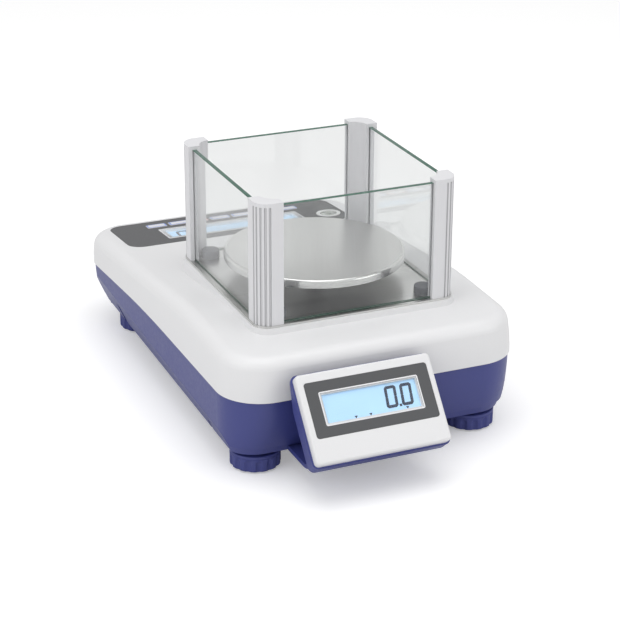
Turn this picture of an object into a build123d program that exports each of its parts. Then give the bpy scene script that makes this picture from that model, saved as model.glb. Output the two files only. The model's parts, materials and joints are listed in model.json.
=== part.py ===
from build123d import *
import os
from math import atan2, cos, pi, radians, sin, tan

# A precision balance with a glass draft shield, an operator panel at the front and a second
# display at the rear. The operator stands at -Y and looks along +Y. Lengths are millimetres.
# The origin is on the bench, below the middle of the outline.

# Housing
HOUSING_WIDTH = 206.0
HOUSING_LENGTH = 314.0
HOUSING_RADIUS = 30.0
PAN_TO_REAR = 110.5
BASE_Z = 14.2
PARTING_Z = 55.0
PARTING_BREAK = 63.0
PARTING_BREAK_RADIUS = 1350.0
PARTING_TILT = 3.75
PARTING_COVER = 6.0
PARTING_GAP = 0.6
DECK_Z = 86.0
DECK_TILT = 5.0
DECK_REAR_TILT = 2.0
DECK_BREAK = -16.3
DECK_BREAK_RADIUS = 400.0
DECK_EDGE_RADIUS = 9.0
COVER_WALL = 2.5
COVER_INSETS = ((8.0, 0.2), (16.0, 0.8), (24.0, 1.8), (40.0, 4.6))
SKIRT_OVERRUN = 2.0

# Lower tray
TRAY_WALL = 2.6
TRAY_LIP = 0.8
TRAY_WAIST_Z = 38.0
TRAY_WAIST = (0.4, 2.5, 2.0)
TRAY_HEM_Z = 19.4
TRAY_HEM = (1.2, 11.0, 8.25)
TRAY_HEM_RADIUS = 24.0
HEM_STEP = 0.9
HEM_DRAFT = 22.0
SIDE_BAND_INSET = 8.8
SIDE_BAND_LEAN = 24.0
SIDE_BAND_TOE = 0.93
SLOT_DEPTH = 9.0
FRONT_SLOT = (136.5, 7.0, 14.0)
REAR_SLOT = (-51.5, 4.0, 7.0)

# Screw feet
FOOT_REAR = (25.7, -81.9)
FOOT_FRONT = (30.0, 158.0)
FOOT_RADIUS = 16.6
FOOT_HEIGHT = 10.8
FOOT_LIFT = 1.2
FOOT_HUB_RADIUS = 12.5
FOOT_HUB_HEIGHT = 0.9
FLUTE_COUNT = 14
FLUTE_RADIUS = 3.1
FLUTE_DEPTH = 1.1
FLUTE_SHARE = 0.55
FOOT_EDGE_RADIUS = 0.8
PAD_RADIUS = 12.0
PAD_HEIGHT = 3.0
PAD_EDGE_RADIUS = 0.6
PAD_STUD_RADIUS = 2.0
STUD_ROOF = 3.0
STUD_GAP = 1.0
STEM_RADIUS = 4.0
STEM_TOP = 36.0
INSERT_RADIUS = 6.0
INSERT_TOP = 31.0
BOSS_WALL = 2.6
RUNNING_CLEARANCE = 0.05
LOOSE_CLEARANCE = 0.3
SEAT_CLEARANCE = 0.1
THREAD_CLEARANCE = 0.02
SCREW_TIP_GAP = 1.0

# Draft shield
SHIELD_WIDTH = 134.0
SHIELD_DEPTH = 137.0
GLASS_HEIGHT = 79.8
GLASS_THICK = 3.0
GLASS_CLEARANCE = 0.12
POST_REACH = 14.3
POST_SKIN = 3.0
POST_BACK = 2.0
POST_NOSE_RADIUS = 10.0
POST_SLOT_END = 6.0
POST_HOLLOW = 2.2
GROOVE_COUNT = 5
GROOVE_PITCH = 17.5
GROOVE_RADIUS = 0.8
CAP_THICK = 2.5
PLATE_Z = 89.2
PLATE_THICK = 1.5
PLATE_MARGIN = 0.6
PLATFORM_MARGIN = 1.2
PLATFORM_SPREAD = 2.5
PLATFORM_DEPTH = 14.0
PLATE_CAP_INSET = (14.5, 11.5)
PLATE_CAP_RADIUS = 6.2
PLATE_SCREW_HEAD = (3.6, 2.2)
PLATE_CAP_HEIGHT = 5.5
PLATE_CAP_EDGE_RADIUS = 0.9
PLATE_SCREW_RADIUS = 1.9
PLATE_SCREW_GRIP = 8.0
PLATE_SCREW_BOSS = 10.0

# Weighing pan and its support
PAN_RADIUS = 60.0
PAN_TOP = 108.65
PAN_SHEET = 1.0
PAN_RIM = 5.5
PAN_EDGE_RADIUS = 2.2
PAN_RING_WALL = 1.6
PAN_RING_HEIGHT = 2.0
HUB_RADIUS = 12.0
HUB_WALL = 3.0
HUB_FLOOR = 0.5
HUB_CONE_STEP = 2.0
HUB_CONE_HEIGHT = 6.0
ARM_TIP_SHARE = 0.8
ARM_WIDTH = 10.0
ARM_REACH = 47.0
ARM_THICK = 2.2
BUFFER_RADIUS = 4.0
BUFFER_HEIGHT = 2.2
BUFFER_INSET = 6.0
SPINDLE_RADIUS = 5.0
SPINDLE_PASSAGE = 12.0

# Weighing cell
CELL_LENGTH = 130.0
CELL_WIDTH = 25.0
CELL_HEIGHT = 22.0
CELL_Z = 30.0
CELL_HOLE_RADIUS = 7.5
CELL_HOLE_PITCH = 40.0
CELL_SLOT = 4.0
CELL_END = 26.0
CELL_SCREW_RADIUS = 2.5
CELL_SCREW_HEAD = (4.25, 5.0)
CELL_SCREW_GRIP = 8.0
FREE_SCREW_LENGTH = 20.0
CELL_SCREW_PITCH = 14.0
CELL_PLATE = (70.0, 160.0, 4.0)
CELL_PLATE_Z = 20.0
CELL_PLATE_RADIUS = 4.0
CELL_SEAT_MARGIN = 2.0
CELL_POST_RADIUS = 5.0
CELL_POST_INSET = (8.0, 10.0)
CARRIER_THICK = 6.0
CARRIER_STEP = 2.0
CARRIER_BOSS_RADIUS = 10.0
CARRIER_BOSS_HEIGHT = 9.0
CARRIER_FLOOR = 1.0

# Operator panel, measured along the sloping deck
PANEL_CENTRE = 162.3
PANEL_WIDTH = 175.0
PANEL_LENGTH = 61.5
PANEL_RADIUS = 11.0
PANEL_THICK = 0.8
PANEL_CLEARANCE = 0.1
LCD_CENTRE = 156.3
LCD_WIDTH = 108.0
LCD_LENGTH = 25.0
LCD_FRAME = 3.0
LCD_DEPTH = 7.2
LCD_INSET = 1.0
KEY_CENTRE = 179.5
KEY_COUNT = 7
KEY_PITCH = 17.5
KEY_WIDTH = 15.0
KEY_LENGTH = 7.5
KEY_RADIUS = 1.0
KEY_PROUD = 0.4
KEY_EDGE = 0.2
KEY_STEM = 3.6
KEY_TRAVEL = 0.5
SWITCH_SIZE = 6.0
SWITCH_HEIGHT = 4.0
SWITCH_STEP = 1.0
SWITCH_BUTTON_RADIUS = 1.8
LEVEL_INSET = 12.5
LEVEL_FORWARD = 151.0
LEVEL_RADIUS = 8.0
LEVEL_DEPTH = 8.0
LEVEL_WALL = 1.4
LEVEL_RIM = 1.2
LEVEL_RIM_THICK = 0.5
LEVEL_EDGE_RADIUS = 0.4
BOARD_WIDTH = 150.0
BOARD_LENGTH = 50.0
BOARD_THICK = 1.6
BOARD_RADIUS = 2.0
BOARD_POST_RADIUS = 3.0
BOARD_MARGIN = 4.0

# Second display, on its own leaning plane
DISPLAY_X = 20.6
DISPLAY_CENTRE = 140.3
DISPLAY_Z = 54.8
DISPLAY_LEAN = 39.7
BEZEL_WIDTH = 92.0
BEZEL_LENGTH = 58.0
BEZEL_DEPTH = 6.0
BEZEL_RADIUS = 3.0
BEZEL_WALL = 2.2
BEZEL_EDGE_RADIUS = 1.8
BEZEL_INNER_RADIUS = 1.0
LABEL_WIDTH = 84.0
LABEL_LENGTH = 36.0
LABEL_OFFSET = 5.0
LABEL_RADIUS = 2.0
LABEL_THICK = 0.6
SMALL_LCD_WIDTH = 66.0
SMALL_LCD_LENGTH = 20.4
SMALL_LCD_DEPTH = 4.0
SMALL_LCD_FRAME = 2.0
SHELL_DEPTH = 9.0
SHELL_OVERHANG = 1.2
SHELL_WALL = 2.2
SHELL_TOP_WALL = 1.3
SHELL_BOSS_WALL = 1.6
SHELL_TOP_DEPTH = 0.8
SHELL_TAPER_START = 10.0
ARM_SIDE_INSET = 5.0
ARM_PLATE = 3.0
ARM_BEND_RADIUS = 16.0
ARM_LEG = 10.0
ARM_TONGUE = 14.0
ARM_LIFT = 0.2
TONGUE_CUT = 60.0
DISPLAY_BOARD = (70.0, 36.0, 1.6)
DISPLAY_BOARD_DROP = 3.0
DISPLAY_SCREWS = ((39.5, 8.0), (39.5, -21.0))
DISPLAY_SCREW_RADIUS = 1.4
DISPLAY_HEAD_RADIUS = 2.4
DISPLAY_HEAD_HEIGHT = 1.6

# Housing screws
HOUSING_SCREW_RADIUS = 2.0
HOUSING_HEAD_RADIUS = 3.8
HOUSING_HEAD_HEIGHT = 2.5
HOUSING_SCREW_LENGTH = 24.0
PILLAR_RADIUS = 5.5
PILLAR_STEP = 1.0
PILLAR_TOP = 30.0
PILLARS = ((17.0, 176.0), (15.0, 28.0), (55.0, -68.0))

# Sockets in the side wall
SOCKET_PANEL_INSET = 7.5
SOCKET_PANEL_WALL = 3.0
SOCKET_POCKET = (62.0, 20.0)
SOCKET_POCKET_CENTRE = (-30.0, 42.0)
JACK_SIZE = 11.0
JACK_DEPTH = 12.0
JACK_OFFSET = -21.0
JACK_BORE = 3.15
JACK_PIN = 1.0
JACK_FLOOR = 2.0
PORT_BODY = (31.0, 12.5)
PORT_OFFSET = 10.0
PORT_FLANGE = 1.2
PORT_SHELL = (17.0, 8.4)
PORT_SHELL_DEPTH = 5.5
PORT_TAPER = 1.5
PORT_SHELL_RADIUS = 1.2
PORT_BACK = 8.0
PORT_PLAY = 2.0
PORT_CORNER_RADIUS = 1.0
PORT_SCREW_PITCH = 25.0
PORT_STANDOFF_RADIUS = 2.7
PORT_HOLE_RADIUS = 1.25

# Places that follow from the sizes above
DISPLAY_OUT = cos(radians(DISPLAY_LEAN))
DISPLAY_UP = sin(radians(DISPLAY_LEAN))
LIP_DROP = (BEZEL_LENGTH / 2 - BEZEL_EDGE_RADIUS) * DISPLAY_UP
DISPLAY_REACH = DISPLAY_CENTRE + LIP_DROP + BEZEL_EDGE_RADIUS * (1 - DISPLAY_OUT) - PAN_TO_REAR
Y_REAR = (HOUSING_LENGTH - DISPLAY_REACH) / 2
Y_FRONT = Y_REAR - HOUSING_LENGTH
Y_MIDDLE = (Y_FRONT + Y_REAR) / 2
PAN_Y = Y_REAR - PAN_TO_REAR
DECK_BREAK_Y = PAN_Y - DECK_BREAK
PARTING_BREAK_Y = PAN_Y - PARTING_BREAK
SIDE_BAND_EDGE = HOUSING_WIDTH / 2 - SIDE_BAND_INSET
SOCKET_PANEL_X = HOUSING_WIDTH / 2 - SOCKET_PANEL_INSET
LEVEL_PLACE = (LEVEL_INSET - PANEL_WIDTH / 2, LEVEL_FORWARD)
PLATFORM_Z = PLATE_Z - PLATE_THICK
GLASS_TOP = PLATE_Z + GLASS_HEIGHT
TRAY_FLOOR = BASE_Z + TRAY_WALL
FOOT_TOP = FOOT_LIFT + FOOT_HEIGHT
PAN_SEAT = PAN_TOP - PAN_SHEET
CELL_TOP = CELL_Z + CELL_HEIGHT
PLATE_WIDTH = SHIELD_WIDTH + 2 * (POST_SKIN + PLATE_MARGIN)
PLATE_LENGTH = SHIELD_DEPTH + 2 * (POST_SKIN + PLATE_MARGIN)
PLATE_RADIUS = POST_NOSE_RADIUS + PLATE_MARGIN
LCD_FLOOR = COVER_WALL + SEAT_CLEARANCE + LCD_DEPTH
SHELL_BACK = BEZEL_DEPTH + SHELL_DEPTH
CORNERS = {"front_left": (-1, -1), "front_right": (1, -1), "rear_left": (-1, 1), "rear_right": (1, 1)}


def deck_height(y):
    """Height of the deck, which falls from its crest towards the operator and a little towards the rear."""
    front = max(0.0, DECK_BREAK_Y - y) * tan(radians(DECK_TILT))
    rear = max(0.0, y - DECK_BREAK_Y) * tan(radians(DECK_REAR_TILT))
    return DECK_Z - front - rear


def parting_height(y):
    """Height of the joint between cover and tray: level, and falling towards the operator before its break."""
    return PARTING_Z - max(0.0, PARTING_BREAK_Y - y) * tan(radians(PARTING_TILT))


def parting_plane(rise=0.0):
    """Plane through the two ends of the joint between cover and tray, or at a distance above it."""
    front, rear = parting_height(Y_FRONT), parting_height(Y_REAR)
    tilt = atan2(rear - front, HOUSING_LENGTH)
    plane = Plane(origin=(0, Y_MIDDLE, (front + rear) / 2), x_dir=(1, 0, 0), z_dir=(0, -sin(tilt), cos(tilt)))
    return plane.offset(rise)


def panel_plane(forward, x=0.0):
    """Plane on the sloping deck, a distance in front of the pan's axis; +Y runs up the slope."""
    y = PAN_Y - forward
    tilt = radians(DECK_TILT)
    return Plane(origin=(x, y, deck_height(y)), x_dir=(1, 0, 0), z_dir=(0, -sin(tilt), cos(tilt)))


def display_plane():
    """Plane of the second display's face; +X is the reader's right and +Y runs up the face."""
    origin = (DISPLAY_X, PAN_Y + DISPLAY_CENTRE, DISPLAY_Z)
    return Plane(origin=origin, x_dir=(-1, 0, 0), z_dir=(0, DISPLAY_OUT, DISPLAY_UP))


def slab(width, length, radius, low, high):
    """Plate with rounded corners between two heights."""
    return Pos(0, 0, low) * extrude(RectangleRounded(width, length, radius), high - low)


def rod(radius, low, high):
    """Upright cylinder between two heights."""
    return Pos(0, 0, low) * Cylinder(radius, high - low, align=(Align.CENTER, Align.CENTER, Align.MIN))


def block(width, length, low, high):
    """Box on the Z axis between two heights."""
    return Pos(0, 0, low) * Box(width, length, high - low, align=(Align.CENTER, Align.CENTER, Align.MIN))


def foot_place(sides):
    """Centre of the screw foot at one corner."""
    side, end = sides
    inset, forward = FOOT_REAR if end > 0 else FOOT_FRONT
    return side * (HOUSING_WIDTH / 2 - inset), PAN_Y - forward


def bent_trim(height, bend_y, radius, limit):
    """Everything between a bent side profile and a level, drawn across the whole width."""
    far = Y_REAR + HOUSING_RADIUS
    near = Y_FRONT - HOUSING_RADIUS
    points = [(far, height(far)), (bend_y, height(bend_y)), (near, height(near)), (near, limit), (far, limit)]
    face = make_face(Polyline(*points, close=True))
    bend = face.vertices().sort_by_distance((bend_y, height(bend_y), 0))[0]
    return extrude(Plane.YZ * fillet(bend, radius), HOUSING_WIDTH, both=True)


def above_deck(drop):
    """Everything above the deck, or above a surface that far below it."""
    return Pos(0, 0, -drop) * bent_trim(deck_height, DECK_BREAK_Y, DECK_BREAK_RADIUS, 2 * DECK_Z)


def cover_form(wall):
    """Closed form of the cover: rounded sections that draw in as they rise, trimmed by the deck."""
    sections = []
    for rise, inset in ((-SKIRT_OVERRUN, 0.0), *COVER_INSETS):
        width = HOUSING_WIDTH - 2 * (inset + wall)
        length = HOUSING_LENGTH - 2 * (inset + wall)
        sections.append(parting_plane(rise) * RectangleRounded(width, length, HOUSING_RADIUS - inset / 2 - wall))
    form = loft(sections) - above_deck(wall)
    return fillet(outer_edges(form), DECK_EDGE_RADIUS - wall)


def outer_edges(form):
    """Edges round the deck: those that only one upward face has."""
    deck = [face for face in form.faces() if face.normal_at().Z > 0.97]
    return [edge for edge in form.edges() if sum(edge.is_same(e) for face in deck for e in face.edges()) == 1]


def platform_form(inset, top):
    """Raised seat of the draft shield, whose skirt spreads towards the deck."""
    sections = []
    for drop, spread in ((0, 0), (PLATFORM_DEPTH, PLATFORM_SPREAD)):
        grow = PLATFORM_MARGIN - inset + spread
        outline = RectangleRounded(PLATE_WIDTH + 2 * grow, PLATE_LENGTH + 2 * grow, PLATE_RADIUS + grow)
        sections.append(Pos(0, PAN_Y, top - drop) * outline)
    return loft(sections)


def pillar_places():
    """Centres of the housing screws, in pairs along the sides."""
    half = HOUSING_WIDTH / 2
    return [Pos(side * (half - inset), PAN_Y - forward, 0) for inset, forward in PILLARS for side in (-1, 1)]


def pillars(radius, low, high):
    """One upright rod at each housing screw."""
    return [place * rod(radius, low, high) for place in pillar_places()]


def board_posts():
    """Posts under the deck that carry the panel's board."""
    places = GridLocations(BOARD_WIDTH - 2 * BOARD_MARGIN, BOARD_LENGTH - 2 * BOARD_MARGIN, 2, 2)
    plane = panel_plane(PANEL_CENTRE)
    return [plane * (place * rod(BOARD_POST_RADIUS, -LCD_FLOOR, -PANEL_THICK)) for place in places]


def key_planes():
    """Planes of the keys on the sloping deck, in a row across the panel."""
    start = -KEY_PITCH * (KEY_COUNT - 1) / 2
    return [panel_plane(KEY_CENTRE, start + KEY_PITCH * i) for i in range(KEY_COUNT)]


def key_holes():
    """Prisms through the deck under each key."""
    gap = 2 * LOOSE_CLEARANCE
    hole = slab(KEY_WIDTH + gap, KEY_LENGTH + gap, KEY_RADIUS + LOOSE_CLEARANCE, -2 * COVER_WALL, COVER_WALL)
    return [plane * hole for plane in key_planes()]


def cap_places():
    """Centres of the round caps inside the shield's corners."""
    x = SHIELD_WIDTH / 2 - PLATE_CAP_INSET[0]
    y = SHIELD_DEPTH / 2 - PLATE_CAP_INSET[1]
    return {name: Pos(side * x, PAN_Y + end * y, PLATE_Z) for name, (side, end) in CORNERS.items()}


def screw(radius, length, head_radius, head_height):
    """Screw that points down from the underside of its head at the origin."""
    return rod(radius, -length, 0) + rod(head_radius, 0, head_height)


def top_cover():
    """White cover: a leaning shell with a raised shield seat, a panel recess, pillars and openings."""
    form = cover_form(0.0) - bent_trim(parting_height, PARTING_BREAK_Y, PARTING_BREAK_RADIUS, 0.0)
    form += platform_form(0.0, PLATFORM_Z)
    hollow = cover_form(COVER_WALL) + platform_form(COVER_WALL, PLATFORM_Z - COVER_WALL)
    shell = form - hollow
    inner = pillars(PILLAR_RADIUS - PILLAR_STEP, PARTING_Z - PILLAR_RADIUS, PLATE_Z) + board_posts()
    boss = rod(PLATE_SCREW_HEAD[0], -PLATE_THICK - PLATE_SCREW_BOSS, -PLATE_THICK)
    inner += [place * boss for place in cap_places().values()]
    shell += [piece & form for piece in inner]
    shell += pillars(PILLAR_RADIUS - PILLAR_STEP, PILLAR_TOP, PARTING_Z)
    shell -= pillars(HOUSING_SCREW_RADIUS, PILLAR_TOP - SCREW_TIP_GAP, PILLAR_TOP + HOUSING_SCREW_LENGTH)
    panel = panel_plane(PANEL_CENTRE)
    shell -= panel * slab(PANEL_WIDTH, PANEL_LENGTH, PANEL_RADIUS, -PANEL_THICK, COVER_WALL)
    lcd = block(LCD_WIDTH - 2 * LCD_FRAME, LCD_LENGTH - 2 * LCD_FRAME, -2 * COVER_WALL, COVER_WALL)
    shell -= panel_plane(LCD_CENTRE) * lcd
    shell -= key_holes()
    x, forward = LEVEL_PLACE
    shell -= panel_plane(forward, x) * rod(LEVEL_RADIUS + LOOSE_CLEARANCE, -2 * LEVEL_DEPTH, COVER_WALL)
    shell -= Pos(0, PAN_Y, 0) * rod(SPINDLE_PASSAGE, PARTING_Z, PLATE_Z)
    screw_hole = rod(PLATE_SCREW_RADIUS, -PLATE_THICK - PLATE_SCREW_GRIP - SCREW_TIP_GAP, 0)
    return shell - [place * screw_hole for place in cap_places().values()]


def tray_section(z, margins, inset, radius):
    """Level section of the tray with its own margins at the sides, front and rear."""
    side, front, rear = (margin + TRAY_LIP + inset for margin in margins)
    outline = RectangleRounded(HOUSING_WIDTH - 2 * side, HOUSING_LENGTH - front - rear, radius)
    return Pos(0, Y_MIDDLE + (front - rear) / 2, z) * outline


def side_cutter(side, inset):
    """Half space that undercuts the lower band of one side."""
    lean = radians(SIDE_BAND_LEAN)
    toe = sin(radians(SIDE_BAND_TOE))
    normal = (side * cos(lean), -toe, -sin(lean))
    plane = Plane(origin=(side * (SIDE_BAND_EDGE - inset), PAN_Y, BASE_Z), z_dir=normal)
    return plane * block(2 * HOUSING_LENGTH, 2 * HOUSING_LENGTH, 0, HOUSING_WIDTH)


def tray_form(inset, floor):
    """Closed form of the tray: bowed ends, a stepped hem and undercut side bands."""
    lip = TRAY_LIP + inset
    top = RectangleRounded(HOUSING_WIDTH - 2 * lip, HOUSING_LENGTH - 2 * lip, HOUSING_RADIUS - lip / 2)
    waist = tray_section(TRAY_WAIST_Z, TRAY_WAIST, inset, HOUSING_RADIUS - 2 - inset)
    hem = tray_section(TRAY_HEM_Z, TRAY_HEM, inset, TRAY_HEM_RADIUS - inset)
    body = loft([hem, waist, parting_plane(PARTING_COVER) * top])
    step = inset + HEM_STEP
    draft = (TRAY_HEM_Z - floor) * tan(radians(HEM_DRAFT))
    upper = tray_section(TRAY_HEM_Z, TRAY_HEM, step, TRAY_HEM_RADIUS - step)
    lower = tray_section(floor, TRAY_HEM, step + draft, TRAY_HEM_RADIUS - step - draft)
    body += loft([lower, upper])
    return body - [side_cutter(side, inset) for side in (-1, 1)]


def side_slot(slot, side, grow):
    """Upright slot in the lower band of one side, grown on all sides to make the wall behind it."""
    forward, width, height = slot
    depth = SIDE_BAND_EDGE - SLOT_DEPTH - grow
    box = Box(HOUSING_WIDTH, width + 2 * grow, height + grow, align=(Align.MIN, Align.CENTER, Align.MIN))
    box = Pos(depth, PAN_Y - forward, BASE_Z) * box
    return box if side > 0 else mirror(box, Plane.YZ)


def socket_box(grow, x_face, depth):
    """Box round the sockets' recess in the -X wall, from its face outwards."""
    forward, z = SOCKET_POCKET_CENTRE
    width, height = SOCKET_POCKET
    box = Box(depth, width + 2 * grow, height + 2 * grow, align=(Align.MAX, Align.CENTER, Align.CENTER))
    return Pos(-x_face, PAN_Y - forward, z) * box


def socket_plane(offset):
    """Plane on the sockets' panel, facing out of the -X wall; +X runs to the reader's right."""
    forward, z = SOCKET_POCKET_CENTRE
    origin = (-SOCKET_PANEL_X, PAN_Y - forward - offset, z)
    return Plane(origin=origin, x_dir=(0, -1, 0), z_dir=(-1, 0, 0))


def arm_width():
    """Width of the arm under the second display."""
    return BEZEL_WIDTH - 2 * ARM_SIDE_INSET


def base_tray():
    """Blue lower tray with foot bosses, screw bosses, side slots, socket recess and the arm's notch."""
    above = bent_trim(parting_height, PARTING_BREAK_Y, PARTING_BREAK_RADIUS, 2 * PARTING_Z)
    form = tray_form(0.0, BASE_Z) - Pos(0, 0, -PARTING_GAP) * above
    shell = form - tray_form(TRAY_WALL, TRAY_FLOOR)
    slots = [(slot, side) for slot in (FRONT_SLOT, REAR_SLOT) for side in (-1, 1)]
    shell += [side_slot(slot, side, TRAY_WALL) & form for slot, side in slots]
    deep = TRAY_WALL * 2 + SOCKET_PANEL_WALL
    shell += socket_box(TRAY_WALL, SOCKET_PANEL_X - SOCKET_PANEL_WALL, deep) & form
    shell += pillars(PILLAR_RADIUS, BASE_Z, PILLAR_TOP)
    for sides in CORNERS.values():
        shell += Pos(*foot_place(sides), 0) * rod(INSERT_RADIUS + BOSS_WALL, BASE_Z, STEM_TOP + BOSS_WALL * 2)
    width, length, _ = CELL_PLATE
    spots = GridLocations(width - 2 * CELL_POST_INSET[0], length - 2 * CELL_POST_INSET[1], 2, 2)
    shell += [Pos(0, PAN_Y, 0) * (spot * rod(CELL_POST_RADIUS, BASE_Z, CELL_PLATE_Z)) for spot in spots]
    tongue_y = Y_REAR - TRAY_LIP - TRAY_HEM[2] - HEM_STEP - ARM_TONGUE
    tongue = Box(arm_width() + 2 * TRAY_WALL, TONGUE_CUT, TRAY_WALL * 2 + ARM_PLATE,
                 align=(Align.CENTER, Align.MIN, Align.MIN))
    shell += (Pos(DISPLAY_X, tongue_y - TRAY_WALL, BASE_Z) * tongue) & form
    shell -= [side_slot(slot, side, 0.0) for slot, side in slots]
    shell -= socket_box(0.0, SOCKET_PANEL_X, HOUSING_WIDTH)
    notch = Box(arm_width() + 2 * SEAT_CLEARANCE, TONGUE_CUT, ARM_PLATE + ARM_LIFT + SEAT_CLEARANCE,
                align=(Align.CENTER, Align.MIN, Align.MIN))
    shell -= Pos(DISPLAY_X, tongue_y - SEAT_CLEARANCE, BASE_Z) * notch
    shell -= pillars(HOUSING_SCREW_RADIUS + LOOSE_CLEARANCE, BASE_Z - 1, PILLAR_TOP + 1)
    shell -= pillars(HOUSING_HEAD_RADIUS + LOOSE_CLEARANCE, BASE_Z - 1, TRAY_FLOOR + HOUSING_HEAD_HEIGHT)
    for sides in CORNERS.values():
        place = Pos(*foot_place(sides), 0)
        shell -= place * rod(INSERT_RADIUS + RUNNING_CLEARANCE, BASE_Z - 1, INSERT_TOP)
        shell -= place * rod(STEM_RADIUS + LOOSE_CLEARANCE, INSERT_TOP - 1, STEM_TOP + BOSS_WALL)
    jack_hole = JACK_SIZE + 2 * SEAT_CLEARANCE
    shell -= socket_plane(JACK_OFFSET) * block(jack_hole, jack_hole, -JACK_DEPTH, 1)
    port_hole = block(PORT_SHELL[0] + PORT_PLAY, PORT_SHELL[1] + PORT_PLAY, -PORT_BACK, 1)
    return shell - socket_plane(PORT_OFFSET) * port_hole


def foot_insert(place):
    """Threaded bush that is pressed into a foot boss."""
    bush = rod(INSERT_RADIUS, BASE_Z, INSERT_TOP) - rod(STEM_RADIUS + RUNNING_CLEARANCE, 0, STEM_TOP)
    return place * bush


def foot_knob(place):
    """Round screw foot with arched flutes, a hub, a stem and a recess for its rubber pad."""
    knob = rod(FOOT_RADIUS, FOOT_LIFT, FOOT_TOP)
    knob = fillet(knob.edges().filter_by(GeomType.CIRCLE), FOOT_EDGE_RADIUS)
    reach = FOOT_RADIUS + FLUTE_RADIUS - FLUTE_DEPTH
    height = FOOT_LIFT + FLUTE_SHARE * FOOT_HEIGHT
    for i in range(FLUTE_COUNT):
        flute = Rot(0, 0, 360 * i / FLUTE_COUNT) * Pos(reach, 0, 0)
        knob -= flute * rod(FLUTE_RADIUS, 0, height)
        knob -= flute * (Pos(0, 0, height) * Sphere(FLUTE_RADIUS))
    knob += rod(FOOT_HUB_RADIUS, FOOT_TOP, FOOT_TOP + FOOT_HUB_HEIGHT)
    knob += rod(STEM_RADIUS, FOOT_TOP, STEM_TOP)
    knob -= rod(PAD_RADIUS + LOOSE_CLEARANCE, 0, PAD_HEIGHT + SEAT_CLEARANCE)
    knob -= rod(PAD_STUD_RADIUS + RUNNING_CLEARANCE, 0, FOOT_TOP - STUD_ROOF)
    return place * knob


def foot_pad(place):
    """Rubber pad that stays still on the bench, with the stud that the knob turns on."""
    pad = rod(PAD_RADIUS, 0, PAD_HEIGHT)
    pad = fillet(pad.edges().group_by(Axis.Z)[0], PAD_EDGE_RADIUS)
    return place * (pad + rod(PAD_STUD_RADIUS, PAD_HEIGHT, FOOT_TOP - STUD_ROOF - STUD_GAP))


def post_plan():
    """Plan of a corner post. The glass's outer planes cross at the origin, and the post lies at -X -Y.

    A round nose joins two flats; grooves run down the nose, slots take the glass and the back is hollow.
    """
    skin = POST_SKIN
    reach = -POST_REACH
    back = -(GLASS_THICK + POST_BACK)
    nose = skin - POST_NOSE_RADIUS
    middle = (back + reach) / 2 + POST_HOLLOW * sin(pi / 4)
    edges = [
        Line((reach, skin), (nose, skin)),
        CenterArc((nose, nose), POST_NOSE_RADIUS, 0, 90),
        Line((skin, nose), (skin, reach)),
        Line((skin, reach), (back, reach)),
        ThreePointArc((back, reach), (middle, middle), (reach, back)),
        Line((reach, back), (reach, skin)),
    ]
    return make_face(edges)


def corner(shape, sides):
    """Mirror a shape drawn for the rear right corner and move it to a corner of the shield."""
    side, end = sides
    if side < 0:
        shape = mirror(shape, Plane.YZ)
    if end < 0:
        shape = mirror(shape, Plane.XZ)
    return Pos(side * SHIELD_WIDTH / 2, PAN_Y + end * SHIELD_DEPTH / 2, 0) * shape


def shield_post():
    """Corner post, standing on the plate with the grooves and both glass slots cut through."""
    plan = post_plan()
    nose = POST_SKIN - POST_NOSE_RADIUS
    for i in range(GROOVE_COUNT):
        turn = radians(45 + GROOVE_PITCH * (i - (GROOVE_COUNT - 1) / 2))
        x, y = nose + POST_NOSE_RADIUS * cos(turn), nose + POST_NOSE_RADIUS * sin(turn)
        plan -= Pos(x, y) * Circle(GROOVE_RADIUS)
    length = 2 * POST_REACH
    width = GLASS_THICK + 2 * GLASS_CLEARANCE
    slot = Pos(-POST_SLOT_END, GLASS_CLEARANCE) * Rectangle(length, width, align=(Align.MAX, Align.MAX))
    plan -= slot
    plan -= mirror(Rot(0, 0, 90) * slot, Plane.YZ)
    return Pos(0, 0, PLATE_Z) * extrude(plan, GLASS_HEIGHT)


def post_cap():
    """Flat cap of the post's outline, lying on the post and the glass."""
    return Pos(0, 0, GLASS_TOP) * extrude(post_plan(), CAP_THICK)


def glass_pane(across, end):
    """One pane between two posts; across says which way it runs and end which side it is on."""
    span = SHIELD_WIDTH if across else SHIELD_DEPTH
    length = span - 2 * (POST_SLOT_END + GLASS_CLEARANCE)
    offset = ((SHIELD_DEPTH if across else SHIELD_WIDTH) - GLASS_THICK) / 2 * end
    if across:
        return Pos(0, PAN_Y + offset, 0) * block(length, GLASS_THICK, PLATE_Z, GLASS_TOP)
    return Pos(offset, PAN_Y, 0) * block(GLASS_THICK, length, PLATE_Z, GLASS_TOP)


def shield_plate():
    """Steel plate that carries the shield, with the spindle's passage and the cap screws' holes."""
    plate = Pos(0, PAN_Y, 0) * slab(PLATE_WIDTH, PLATE_LENGTH, PLATE_RADIUS, PLATFORM_Z, PLATE_Z)
    plate -= Pos(0, PAN_Y, 0) * rod(SPINDLE_PASSAGE, 0, GLASS_TOP)
    hole = rod(PLATE_SCREW_RADIUS + SEAT_CLEARANCE, -2 * PLATE_THICK, PLATE_THICK)
    return plate - [place * hole for place in cap_places().values()]


def plate_cap(place):
    """Round soft cap over a plate screw."""
    cap = rod(PLATE_CAP_RADIUS, 0, PLATE_CAP_HEIGHT)
    cap = fillet(cap.edges().group_by(Axis.Z)[-1], PLATE_CAP_EDGE_RADIUS)
    radius, height = PLATE_SCREW_HEAD
    return place * (cap - rod(radius + SEAT_CLEARANCE, 0, height + SEAT_CLEARANCE))


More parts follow.
